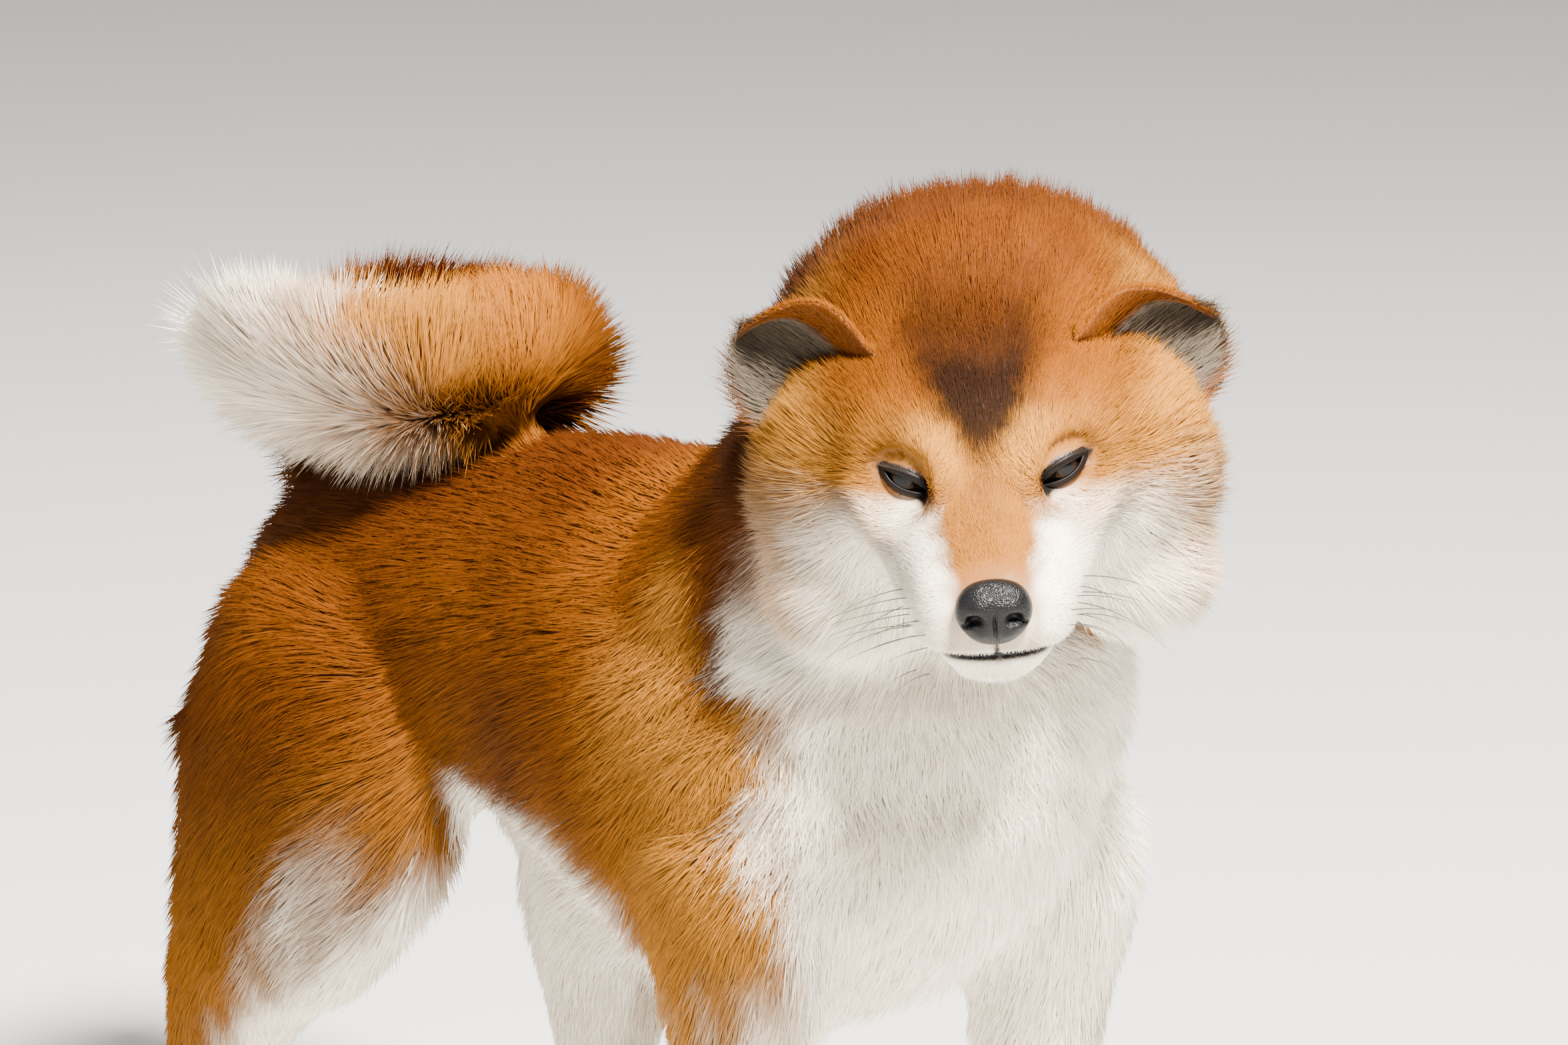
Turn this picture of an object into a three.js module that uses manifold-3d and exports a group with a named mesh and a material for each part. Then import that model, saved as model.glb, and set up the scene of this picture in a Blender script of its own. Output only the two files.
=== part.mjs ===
// A red shiba inu dog, life size, standing with its head turned to its right.
// Millimetres, +Z up. The dog faces -Y and its left side is +X.
import * as THREE from 'three';
import { mergeVertices } from 'three/addons/utils/BufferGeometryUtils.js';
import Module from 'manifold-3d';

const wasm = await Module();
wasm.setup();

// Driving sizes
const gap = 0.4; // between touching pieces
const eyePoint = new THREE.Vector3(-57, -284, 451); // between the eyes, on the face
const headTurn = -40.5; // degrees about Z, towards the dog's right
const headNod = 9.3; // degrees, nose down
const headTilt = -4.6; // degrees, left eye up
const soleHeight = 0;
const ankleHeight = 42; // where a paw meets its leg
const eyeRadius = 10.5;
const eyeCentre = [27, 9, 1.5]; // in the head's own frame, left eye
const eyeTurn = 26; // degrees that each eye looks outwards
const eyeSlant = 29; // degrees that the eye opening rises outwards
const eyeOpening = { length: 24, height: 9.5 };
const noseCentre = [0, -72, -25.5];
const noseSize = { width: 29, height: 25, depth: 17 };

// Colours as seen on the coat
const coat = {
  red: 0xb5652a,
  deepRed: 0x8f4a1c,
  cream: 0xe6d2b4,
  leather: 0x17161a,
  claw: 0x3a302b,
  eye: 0x20120b,
};

// Each row of a form: centre x, y, z, half width, height above and below the centre,
// and how square the upper and lower halves are (2 is an ellipse).
const torsoRows = [
  [0, 238, 316, 28, 28, 28, 2, 2],
  [0, 212, 318, 58, 52, 55, 2, 2],
  [0, 160, 320, 78, 66, 72, 2, 2],
  [0, 95, 322, 82, 84, 82, 2, 2],
  [0, 25, 316, 86, 101, 78, 2, 2],
  [0, -45, 310, 94, 106, 100, 2.1, 2.1],
  [0, -115, 304, 98, 104, 126, 2.1, 2.2],
  [0, -168, 290, 93, 92, 112, 2, 2.2],
  [0, -206, 270, 74, 68, 82, 2, 2],
  [0, -226, 256, 42, 42, 50, 2, 2],
];
const neckRows = [
  [0, -62, 330, 80, 66, 84, 2, 2],
  [3, -112, 362, 86, 72, 92, 2, 2],
  [9, -146, 400, 86, 74, 90, 2, 2],
  [15, -174, 438, 83, 73, 84, 2, 2],
  [18, -188, 468, 66, 62, 60, 2, 2],
];
const chestRuff = { centre: [10, -174, 338], size: [93, 80, 80] };
const napeRuff = { centre: [0, 126, 1], size: [83, 73, 79] }; // in the head's frame

// Head rows run from the nose to the nape: y, centre height, half width, up, down, squareness.
const headRows = [
  [0, -72, -31, 17, 15.5, 16, 2, 2.2],
  [0, -62, -32, 25.5, 21, 19.5, 2.2, 2.4],
  [0, -46, -32, 28.5, 24, 21, 2.2, 2.6],
  [0, -30, -31, 31.5, 27.5, 23, 2.1, 2.6],
  [0, -14, -28, 40, 32, 29, 2, 2.4],
  [0, 2, -23, 56, 41, 42, 1.9, 2.2],
  [0, 20, -19, 76, 54, 58, 1.8, 2.1],
  [0, 42, -16, 91, 61, 66, 1.75, 2.1],
  [0, 68, -12, 92, 62, 65, 1.8, 2.1],
  [0, 94, -6, 84, 58, 61, 2, 2],
  [0, 114, -2, 58, 42, 44, 2, 2],
];
// Swellings and hollows of the face, mirrored: place, reach, rise
const faceShape = [
  { at: [30, -3, 0], reach: 9.5, rise: -6 },
  { at: [27, 6, 16], reach: 8, rise: 2.5 },
  { at: [43, -4, -45], reach: 10, rise: -5 },
  { at: [27, -45, -49], reach: 9, rise: 2 },
  { at: [80, 38, -48], reach: 24, rise: 4 },
  { at: [0, -5, 8], reach: 9, rise: -1.2 },
  { at: [0, 22, 38], reach: 9, rise: -0.8 },
];
const jawRows = [
  [0, -63, -49, 12, 5, 6, 2, 2],
  [0, -54, -49, 20, 6, 9, 2, 2],
  [0, -38, -49, 24, 6, 11, 2, 2],
  [0, -18, -49, 27, 6, 14, 2, 2],
  [0, -2, -50, 26, 6, 14, 2, 2],
];

const rightFore = [
  [-56, -146, 318, 34, 46, 44, 2, 2],
  [-62, -152, 276, 42, 52, 52, 2, 2],
  [-64, -151, 240, 39, 50, 50, 2, 2],
  [-65, -149, 200, 31, 38, 38, 2, 2],
  [-65, -148, 160, 25, 29, 29, 2, 2],
  [-64, -148, 112, 20.5, 22, 23, 2, 2],
  [-64, -150, 76, 20, 21, 21, 2, 2],
  [-64, -156, 44, 20, 19, 20, 2, 2],
  [-64, -162, 24, 17, 16, 16, 2, 2],
];
const rightHind = [
  [-42, 140, 362, 38, 62, 52, 2, 2],
  [-56, 140, 312, 48, 86, 72, 2, 2],
  [-66, 136, 262, 47, 94, 97, 2, 2],
  [-73, 155, 210, 41, 76, 82, 2, 2],
  [-76, 184, 162, 32, 47, 55, 2, 2],
  [-76, 207, 120, 25, 32, 38, 2, 2],
  [-75, 218, 90, 21, 23, 25, 2, 2],
  [-74, 213, 55, 20, 20, 20, 2, 2],
  [-74, 205, 26, 17, 18, 18, 2, 2],
];
// What the left legs add to the mirrored right ones, row by row: forward, and apart
const leftForeStep = [-20, -22, -22, -22, -24, -25, -26, -27, -27];
const leftHindStep = [-4, -12, -26, -50, -68, -88, -98, -100, -100];
const leftForeApart = [4, 6, 8, 10, 10, 8, 6, 6, 6];

const forePaw = { width: 27, length: 42, height: 24 };
const hindPaw = { width: 25, length: 40, height: 22 };

// The tail rises, runs forward on the left, turns over the back and lies on its right, tip back.
const tailRows = {
  tail_base: [
    [0, 198, 342, 18, 18, 18, 2, 2],
    [2, 226, 368, 21, 21, 21, 2, 2],
    [8, 238, 400, 24, 24, 24, 2, 2],
    [14, 228, 424, 24, 24, 24, 2, 2],
  ],
  tail_rise: [
    [15, 222, 428, 24, 24, 24, 2, 2],
    [20, 180, 436, 26, 26, 26, 2, 2],
    [20, 125, 438, 26, 26, 26, 2, 2],
    [10, 84, 440, 24, 24, 24, 2, 2],
  ],
  tail_end: [
    [-34, 84, 438, 24, 24, 24, 2, 2],
    [-46, 112, 436, 26, 26, 26, 2, 2],
    [-53, 160, 438, 26, 26, 26, 2, 2],
    [-57, 200, 442, 21, 21, 21, 2, 2],
    [-59, 226, 445, 12, 12, 12, 2, 2],
  ],
};
const tailTurn = { centre: [-10, 68, 440], size: [38, 28, 25] };

// Locks of long hair: how far apart their roots are, and their length, width and thickness
const locks = {
  tail: { apart: 26, long: 54, wide: 17, thick: 9, lift: 0.5 },
  ruff: { apart: 40, long: 46, wide: 17, thick: 6, lift: 0.1 },
  cheek: { apart: 21, long: 26, wide: 11, thick: 4.5, lift: 0.12 },
  breeches: { apart: 29, long: 44, wide: 15, thick: 6, lift: 0.12 },
};

// Smooth line through rows of numbers, at t from 0 to 1.
function rowAt(rows, t) {
  const last = rows.length - 1;
  const place = Math.min(Math.max(t, 0), 0.999999) * last;
  const i = Math.floor(place);
  const k = place - i;
  const before = rows[i - 1] ?? rows[0].map((v, n) => 2 * v - rows[1][n]);
  const after = rows[i + 2] ?? rows[last].map((v, n) => 2 * v - rows[last - 1][n]);
  return rows[i].map((b, n) => {
    const [a, c, d] = [before[n], rows[i + 1][n], after[n]];
    const bend = 2 * a - 5 * b + 4 * c - d + k * (3 * b - a - 3 * c + d);
    return 0.5 * (2 * b + k * (c - a + k * bend));
  });
}

// A closed body whose sections follow rows of centres and half sizes: a sphere's rings, each
// moved to its row, kept square to the line of centres, and rounded off over the blunt ends.
function form(rows, { around = 24, rings = 18, up = [0, 0, 1], blunt = [0.1, 0.1], bumps = [] }) {
  const ball = new THREE.SphereGeometry(1, around, rings);
  const spots = ball.getAttribute('position');
  const side = new THREE.Vector3();
  const top = new THREE.Vector3(...up);
  for (let ring = 0; ring <= rings; ring += 1) {
    const t = ring / rings;
    const [x, y, z, wide, high, low, squareTop, squareLow] = rowAt(rows, t);
    const centre = new THREE.Vector3(x, y, z);
    const ahead = new THREE.Vector3(...rowAt(rows, Math.min(t + 0.01, 1)));
    const behind = new THREE.Vector3(...rowAt(rows, Math.max(t - 0.01, 0)));
    const line = ahead.sub(behind).normalize();
    side.crossVectors(top, line).normalize();
    top.crossVectors(line, side).normalize();
    const round = Math.min(
      t < blunt[0] ? Math.sqrt(1 - (1 - t / blunt[0]) ** 2) : 1,
      t > 1 - blunt[1] ? Math.sqrt(1 - (1 - (1 - t) / blunt[1]) ** 2) : 1,
    );
    for (let n = 0; n <= around; n += 1) {
      const angle = (2 * Math.PI * n) / around;
      const [c, s] = [-Math.cos(angle), Math.sin(angle)];
      const square = s > 0 ? squareTop : squareLow;
      const height = s > 0 ? high : low;
      const across = Math.sign(c) * Math.abs(c) ** (2 / square) * wide * round;
      const rise = Math.sign(s) * Math.abs(s) ** (2 / square) * height * round;
      const spot = centre.clone().addScaledVector(side, across).addScaledVector(top, rise);
      const out = spot.clone().sub(centre);
      if (out.length() > 0) out.normalize();
      spot.addScaledVector(out, swelling(bumps, spot));
      spots.setXYZ(ring * (around + 1) + n, spot.x, spot.y, spot.z);
    }
  }
  return ball;
}

// Sum of the rounded swellings at a place, each mirrored in x.
function swelling(bumps, spot) {
  return bumps.reduce((sum, { at, reach, rise }) => {
    const mirror = new THREE.Vector3(Math.abs(spot.x), spot.y, spot.z);
    const far = mirror.distanceToSquared(new THREE.Vector3(...at));
    return sum + rise * Math.exp(-far / (2 * reach * reach));
  }, 0);
}

// A manifold of a closed geometry, moved by a matrix and swollen along its normals.
function solid(geometry, matrix, grow = 0) {
  const bare = geometry.clone();
  bare.deleteAttribute('normal');
  bare.deleteAttribute('uv');
  if (matrix) bare.applyMatrix4(matrix);
  const merged = mergeVertices(bare, 1e-3);
  merged.computeVertexNormals();
  const spots = merged.getAttribute('position').array;
  const outward = merged.getAttribute('normal').array;
  const mesh = new wasm.Mesh({
    numProp: 3,
    vertProperties: spots.map((v, n) => v + grow * outward[n]),
    triVerts: new Uint32Array(merged.index.array),
  });
  return new wasm.Manifold(mesh);
}

// Repeatable random numbers from 0 to 1.
function seeded(seed) {
  let state = seed;
  return () => {
    state = (state * 1664525 + 1013904223) % 4294967296;
    return state / 4294967296;
  };
}

// Places on a form where locks grow: its own corners, taken at random, none too near another.
function rootsOn(shape, matrix, apart, keep, seed) {
  const placed = shape.clone();
  if (matrix) placed.applyMatrix4(matrix);
  placed.deleteAttribute('normal');
  placed.deleteAttribute('uv');
  const merged = mergeVertices(placed, 1e-3);
  merged.computeVertexNormals();
  const draw = seeded(seed);
  const spots = merged.getAttribute('position');
  const outward = merged.getAttribute('normal');
  const order = [...Array(spots.count).keys()];
  const shuffled = order.map((n) => [draw(), n]).sort((a, b) => a[0] - b[0]);
  const roots = [];
  for (const [, n] of shuffled) {
    const at = new THREE.Vector3().fromBufferAttribute(spots, n);
    const out = new THREE.Vector3().fromBufferAttribute(outward, n);
    const clear = roots.every((root) => root.at.distanceTo(at) > apart);
    if (clear && keep(at, out)) roots.push({ at, out, size: 0.85 + 0.3 * draw(), sway: draw() - 0.5 });
  }
  return roots;
}

// A flat tapered lock: a cone of three sides bent along a curve from under the skin to its tip.
function lock({ at, out, size, sway }, lie, { long, wide, thick, lift }, grow) {
  const side = new THREE.Vector3().crossVectors(lie, out).normalize();
  const along = new THREE.Vector3().crossVectors(out, side).addScaledVector(side, 0.4 * sway).normalize();
  const reach = long * size + 2 * grow;
  const root = at.clone().addScaledVector(out, -1.2 * thick).addScaledVector(along, -0.1 * long);
  const bend = at.clone().addScaledVector(out, lift * reach * 0.75).addScaledVector(along, reach * 0.3);
  const tip = at.clone().addScaledVector(out, lift * reach).addScaledVector(along, reach * (1 - 0.5 * lift));
  const path = new THREE.QuadraticBezierCurve3(root, bend, tip);
  const hair = new THREE.ConeGeometry(1, 1, 3, 3);
  const spots = hair.getAttribute('position');
  for (let n = 0; n < spots.count; n += 1) {
    const s = spots.getY(n) + 0.5;
    const taper = Math.max(1 - s, 1e-6);
    const full = (0.7 + 0.9 * s) * (1 - s ** 2.4);
    const middle = path.getPoint(s);
    const line = path.getTangent(s);
    const flat = new THREE.Vector3().crossVectors(line, out).normalize();
    const high = new THREE.Vector3().crossVectors(flat, line);
    middle.addScaledVector(flat, (spots.getX(n) / taper) * (wide * size * full + grow));
    middle.addScaledVector(high, (spots.getZ(n) / taper) * (thick * size * full + grow));
    if (s > 0.999) middle.copy(tip);
    spots.setXYZ(n, middle.x, middle.y, middle.z);
  }
  return solid(hair);
}

const join = (list) => list.reduce((all, one) => all.add(one));
const cut = (body, tools) => tools.reduce((left, tool) => left.subtract(tool), body);
const mirrorX = new THREE.Matrix4().makeScale(-1, 1, 1);

// The largest closed surface of a solid, as its own body.
function largest(body) {
  const pieces = body.decompose().sort((a, b) => b.volume() - a.volume());
  return pieces[0];
}

function ballShape(centre, size, matrix, around, rings) {
  const shape = new THREE.SphereGeometry(1, around, rings);
  shape.scale(...size);
  shape.translate(...centre);
  if (matrix) shape.applyMatrix4(matrix);
  return shape;
}
function ball(centre, size, matrix, around = 16, rings = 12, grow = 0) {
  return solid(ballShape(centre, size, matrix, around, rings), undefined, grow);
}

// A block from its low to its high corner, turned about X through its centre.
function block(low, high, turn = 0, grow = 0) {
  const size = high.map((v, n) => v - low[n] + 2 * grow);
  const middle = high.map((v, n) => (v + low[n]) / 2);
  const shape = new THREE.BoxGeometry(...size);
  shape.rotateX(THREE.MathUtils.degToRad(turn));
  shape.translate(...middle);
  return solid(shape);
}

const rad = THREE.MathUtils.degToRad;
const headFrame = new THREE.Matrix4()
  .makeTranslation(eyePoint)
  .multiply(new THREE.Matrix4().makeRotationZ(rad(headTurn)))
  .multiply(new THREE.Matrix4().makeRotationX(rad(headNod)))
  .multiply(new THREE.Matrix4().makeRotationY(rad(headTilt)));

// Head
const headLook = { around: 30, rings: 25, bumps: faceShape, blunt: [0.08, 0.06] };
const headForm = (grow) => solid(form(headRows, headLook), headFrame, grow);
const jawLook = { around: 12, rings: 6, blunt: [0.2, 0.2] };
const jawForm = (grow) => solid(form(jawRows, jawLook), headFrame, grow);

// The frame of one eye: its own Y looks back into the head.
function eyeFrame(sign) {
  return headFrame
    .clone()
    .multiply(new THREE.Matrix4().makeTranslation(sign * eyeCentre[0], eyeCentre[1], eyeCentre[2]))
    .multiply(new THREE.Matrix4().makeRotationZ(rad(sign * eyeTurn)))
    .multiply(new THREE.Matrix4().makeRotationY(rad(-sign * eyeSlant)));
}

// The almond between the lids, as a prism that runs out of the head.
function almond(sign, grow = 0) {
  const half = eyeOpening.length / 2 + grow;
  const high = eyeOpening.height / 2 + grow;
  const outline = new THREE.Shape();
  outline.moveTo(-half, 0);
  outline.quadraticCurveTo(0, 2 * high, half, 0);
  outline.quadraticCurveTo(0, -2 * high, -half, 0);
  const prism = new THREE.ExtrudeGeometry(outline, { depth: 30, bevelEnabled: false, curveSegments: 8 });
  prism.rotateX(Math.PI / 2);
  prism.translate(0, 0, 0);
  return solid(prism, eyeFrame(sign));
}

function lids(sign) {
  const frame = eyeFrame(sign);
  const shell = ball([0, 0, 0], [1, 1, 1].map(() => eyeRadius + 1.8), frame, 20, 12);
  return shell;
}

const noseForm = (grow) => {
  const { width, height, depth } = noseSize;
  const size = [width / 2, depth / 2, height / 2];
  return ball(noseCentre, size, headFrame, 12, 9, grow);
};

function nostrils() {
  return [-1, 1].map((sign) => {
    const hole = new THREE.SphereGeometry(1, 8, 6);
    hole.scale(3.6, 6, 2.6);
    hole.rotateY(rad(sign * 24));
    hole.translate(sign * 6.6, noseCentre[1] - 8, noseCentre[2] + 0.5);
    return solid(hole, headFrame);
  });
}

const headSpace = headFrame.clone().invert();
const cheekLie = (at) => {
  const local = at.clone().applyMatrix4(headSpace);
  const away = new THREE.Vector3(Math.sign(local.x) * 0.45, 0.45, -0.8);
  return away.transformDirection(headFrame);
};
const onCheek = (at) => {
  const local = at.clone().applyMatrix4(headSpace);
  return local.z < -38 && local.y > 22 && local.y < 62 && Math.abs(local.x) > 34;
};
const cheekRoots = rootsOn(form(headRows, headLook), headFrame, locks.cheek.apart, onCheek, 3);
const cheekLocks = (grow) => cheekRoots.map((root) => lock(root, cheekLie(root.at), locks.cheek, grow));
let head = join([headForm(0), lids(1), lids(-1), ...cheekLocks(0)]);
head = cut(head, [
  noseForm(gap),
  ball([0, 0, 0], [1, 1, 1].map(() => eyeRadius + gap), eyeFrame(1), 14, 9),
  ball([0, 0, 0], [1, 1, 1].map(() => eyeRadius + gap), eyeFrame(-1), 14, 9),
  almond(1),
  almond(-1),
]);
const nose = cut(noseForm(0), nostrils());
const jaw = cut(jawForm(0), [headForm(gap)]);

// An ear: a bent sheet between its inner root, outer root and tip, cupped backwards.
const ear = {
  inner: [41, 46, 40],
  outer: [84, 64, -4],
  tip: [98, 74, 46],
  cup: 17,
  thick: 3.6,
  bow: 9,
};
function earForm(sign) {
  const sheet = new THREE.BoxGeometry(2, 1, 1, 8, 7, 1);
  const spots = sheet.getAttribute('position');
  const [inner, outer, tip] = [ear.inner, ear.outer, ear.tip].map((p) => new THREE.Vector3(...p));
  const middle = inner.clone().lerp(outer, 0.5);
  const half = inner.clone().sub(middle);
  const back = new THREE.Vector3(-0.25, 0.95, 0.1).normalize();
  for (let n = 0; n < spots.count; n += 1) {
    const across = spots.getX(n);
    const along = spots.getY(n) + 0.5;
    const wide = Math.max(1 - along ** 1.7, 0.07);
    const spot = middle.clone().lerp(tip, along);
    spot.addScaledVector(half, across * wide);
    spot.z += ear.bow * Math.sin(Math.PI * along) * (1 + across) * 0.5;
    const hollow = ear.cup * (1 - across ** 2) * (1 - 0.6 * along);
    const depth = (spots.getZ(n) + 0.5) * ear.thick * (1.2 - 0.5 * along);
    spot.addScaledVector(back, hollow + depth);
    spots.setXYZ(n, spot.x, spot.y, spot.z);
  }
  const left = solid(sheet);
  const placed = sign > 0 ? left : left.mirror([1, 0, 0]);
  return placed.transform(headFrame.elements);
}

// Neck with its ruff behind the head
const neckLook = { around: 18, rings: 8, blunt: [0.12, 0.25] };
const neckBody = (grow) =>
  join([
    solid(form(neckRows, neckLook), undefined, grow),
    ball(chestRuff.centre, chestRuff.size, undefined, 16, 10, grow),
    ball(napeRuff.centre, napeRuff.size, headFrame, 18, 12, grow),
  ]);

// Legs
function mirrored(rows, step, apart = step.map(() => 0)) {
  return rows.map(([x, y, ...rest], n) => [-x + apart[n], y + step[n], ...rest]);
}
const leftFore = mirrored(rightFore, leftForeStep, leftForeApart);
const leftHind = mirrored(rightHind, leftHindStep);
const legLook = { around: 16, rings: 16, up: [0, -1, 0], blunt: [0.12, 0.08] };
const legForm = (rows, grow = 0) => solid(form(rows, legLook), undefined, grow);

// Four toes and a heel pad round a paw's middle; y is measured forwards from the ankle.
function toes({ width, length, height }) {
  return [-1.5, -0.5, 0.5, 1.5].map((place) => {
    const outside = Math.abs(place) > 1;
    return {
      centre: [place * width * 0.44, -(outside ? 0.28 : 0.62) * length, height * 0.62],
      size: [width * 0.35, length * 0.46, height * 0.64],
    };
  });
}
function paw(size, ankle) {
  const frame = new THREE.Matrix4().makeTranslation(ankle[0], ankle[1] - 4, soleHeight);
  const { width, length, height } = size;
  const pad = ball([0, 1, height * 0.72], [width * 0.92, length * 0.66, height], frame, 10, 7);
  const parts = toes(size).map((toe) => ball(toe.centre, toe.size, frame, 7, 5));
  return join([pad, ...parts]);
}
function claws(size, ankle) {
  const frame = new THREE.Matrix4().makeTranslation(ankle[0], ankle[1] - 4, soleHeight);
  return toes(size).map((toe) => {
    const horn = new THREE.ConeGeometry(2.7, 15, 5, 2);
    const spots = horn.getAttribute('position');
    for (let n = 0; n < spots.count; n += 1) {
      const up = spots.getY(n) / 15 + 0.5;
      spots.setX(n, spots.getX(n) * 0.75);
      spots.setZ(n, spots.getZ(n) + 3.4 * up * up);
    }
    horn.rotateX(Math.PI / 2 + rad(28));
    horn.rotateZ(Math.PI);
    const tip = [toe.centre[0], toe.centre[1] - toe.size[1] - 1, toe.centre[2] + 1.2];
    horn.translate(...tip);
    const clear = ball(toe.centre, toe.size, frame, 7, 5, gap);
    return largest(cut(solid(horn, frame), [clear]));
  });
}
// Each leg: its rows, its paw, and the heights where it is parted
const legs = {
  fore_right: { rows: rightFore, paw: forePaw, top: 268, bend: 186 },
  fore_left: { rows: leftFore, paw: forePaw, top: 268, bend: 186 },
  hind_right: { rows: rightHind, paw: hindPaw, top: 318, bend: 176 },
  hind_left: { rows: leftHind, paw: hindPaw, top: 318, bend: 176 },
};
const slab = (low, high) => block([-400, -400, low], [400, 400, high]);
const legNames = Object.keys(legs);
const torsoLook = { around: 22, rings: 16, blunt: [0.06, 0.06] };
const torsoForm = (grow) => solid(form(torsoRows, torsoLook), undefined, grow);
const ankleOf = (name) => legs[name].rows[legs[name].rows.length - 2];

// Breeches: locks on the back of each thigh, hanging back and down.
const breechesLie = () => new THREE.Vector3(0, 0.15, -1);
function breechesOn(name, grow) {
  if (name.startsWith('fore')) return [];
  const { rows, top } = legs[name];
  const middle = rows[2][1];
  const keep = (at, out) => at.z > 195 && at.z < top - 30 && at.y > middle + 20 && out.y > 0.6;
  const roots = rootsOn(form(rows, legLook), undefined, locks.breeches.apart, keep, 11);
  return roots.map((root) => lock(root, breechesLie(root.at), locks.breeches, grow));
}

const pieces = {};
for (const name of legNames) {
  const { rows, paw: size, top, bend } = legs[name];
  const whole = join([legForm(rows), paw(size, ankleOf(name)), ...breechesOn(name, 0)]);
  pieces[`leg_upper_${name}`] = largest(whole.intersect(slab(bend + gap / 2, top)));
  pieces[`leg_lower_${name}`] = largest(whole.intersect(slab(ankleHeight + gap / 2, bend - gap / 2)));
  pieces[`paw_${name}`] = largest(whole.intersect(slab(soleHeight, ankleHeight - gap / 2)));
}
const legClear = legNames.map((name) => {
  const { rows, top } = legs[name];
  return join([legForm(rows, gap), ...breechesOn(name, 2 * gap)]).intersect(slab(soleHeight - 50, top + gap));
});
const trunk = join([torsoForm(0), ...legNames.map((name) => legForm(legs[name].rows))]);
pieces.torso = largest(cut(trunk, legClear));

// The ruff hangs from the throat, the sides of the neck and the chest.
const ruffLie = (at) => new THREE.Vector3(at.x / 260, 0.3, -0.95);
const onRuff = (at) => at.y < -96 && at.z > 262 && at.z < 420;
const onNape = (at) => at.z > 415 && at.y > -150;
const neckShapes = [
  { shape: form(neckRows, neckLook), keep: onRuff, seed: 5 },
  { shape: ballShape(chestRuff.centre, chestRuff.size, undefined, 16, 10), keep: onRuff, seed: 6 },
];
const headClear = [headForm(gap), jawForm(gap), ...cheekLocks(2 * gap)];
const shoulderClear = [rightFore, leftFore].map((rows) => legForm(rows, gap));
const ruffRoots = neckShapes.flatMap(({ shape, keep, seed }) => {
  return rootsOn(shape, undefined, locks.ruff.apart, keep, seed);
});
const ruffLocks = (grow) => ruffRoots.map((root) => lock(root, ruffLie(root.at), locks.ruff, grow));
const neckWhole = join([neckBody(0), ...ruffLocks(0)]);
pieces.neck = largest(cut(neckWhole, [torsoForm(gap), ...headClear, ...shoulderClear]));
pieces.head = largest(head);
pieces.jaw = largest(jaw);
pieces.nose = largest(nose);
pieces.eye_left = ball([0, 0, 0], [eyeRadius, eyeRadius, eyeRadius], eyeFrame(1), 14, 9);
pieces.eye_right = ball([0, 0, 0], [eyeRadius, eyeRadius, eyeRadius], eyeFrame(-1), 14, 9);
pieces.ear_left = largest(cut(earForm(1), [headForm(gap), neckBody(gap)]));
pieces.ear_right = largest(cut(earForm(-1), [headForm(gap), neckBody(gap)]));
for (const name of legNames) {
  claws(legs[name].paw, ankleOf(name)).forEach((claw, n) => {
    pieces[`claw_${name}_${n + 1}`] = claw;
  });
}

// Tail: a core in four lengths, each with its own locks fanning out and on towards the tip
const tailLook = { around: 10, rings: 8, up: [1, 0, 0.1], blunt: [0.2, 0.2] };
const tailShapes = { tail_turn: ballShape(tailTurn.centre, tailTurn.size, undefined, 12, 8) };
for (const [name, rows] of Object.entries(tailRows)) {
  tailShapes[name] = form(rows, tailLook);
}
const tailLie = {
  tail_base: () => new THREE.Vector3(0, 0.3, 1),
  tail_rise: () => new THREE.Vector3(0.1, -1, 0.3),
  tail_turn: (at) => new THREE.Vector3(-0.6, at.x < -10 ? 0.8 : -0.8, 0.35),
  tail_end: () => new THREE.Vector3(-0.1, 1, 0.1),
};
const underTail = { tail_base: 368, tail_rise: 418, tail_turn: 430, tail_end: 415 };
const tailRoots = Object.fromEntries(
  Object.keys(tailShapes).map((name, n) => {
    const keep = (at, out) => at.z > underTail[name] && (name !== 'tail_base' || out.y > -0.2);
    return [name, rootsOn(tailShapes[name], undefined, locks.tail.apart, keep, 21 + n)];
  }),
);
function tailLength(name, grow) {
  const hair = tailRoots[name].map((root) => lock(root, tailLie[name](root.at), locks.tail, grow));
  return join([solid(tailShapes[name], undefined, grow), ...hair]);
}
const tailOrder = ['tail_end', 'tail_turn', 'tail_rise', 'tail_base'];
const tailClear = [torsoForm(gap), neckBody(gap)];
tailOrder.forEach((name, n) => {
  const before = tailOrder.slice(0, n).map((other) => tailLength(other, 2 * gap));
  pieces[name] = largest(cut(tailLength(name, 0), [...tailClear, ...before]));
});

function material(name) {
  const dark = /^(nose|claw)/.test(name);
  const eye = name.startsWith('eye');
  const pale = /^(jaw|paw)/.test(name);
  const colour = dark ? coat.leather : eye ? coat.eye : pale ? coat.cream : coat.red;
  return new THREE.MeshStandardMaterial({
    color: colour,
    roughness: eye ? 0.08 : dark ? 0.35 : 0.9,
    metalness: 0,
  });
}

function meshOf(name, body) {
  const { numProp, vertProperties, triVerts } = body.getMesh();
  const spots = new Float32Array((vertProperties.length / numProp) * 3);
  for (let n = 0; n < spots.length / 3; n += 1) {
    spots.set(vertProperties.subarray(n * numProp, n * numProp + 3), n * 3);
  }
  const geometry = new THREE.BufferGeometry();
  geometry.setAttribute('position', new THREE.BufferAttribute(spots, 3));
  geometry.setIndex(new THREE.BufferAttribute(new Uint32Array(triVerts), 1));
  const mesh = new THREE.Mesh(geometry, material(name));
  mesh.name = name;
  return mesh;
}

const dog = new THREE.Group();
for (const [name, body] of Object.entries(pieces)) {
  dog.add(meshOf(name, body));
}
// The origin is the middle of the footprint of the whole, on the floor.
const box = new THREE.Box3().setFromObject(dog, true);
dog.position.set(-(box.min.x + box.max.x) / 2, -(box.min.y + box.max.y) / 2, -box.min.z);

export default dog;
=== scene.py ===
import math

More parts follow.
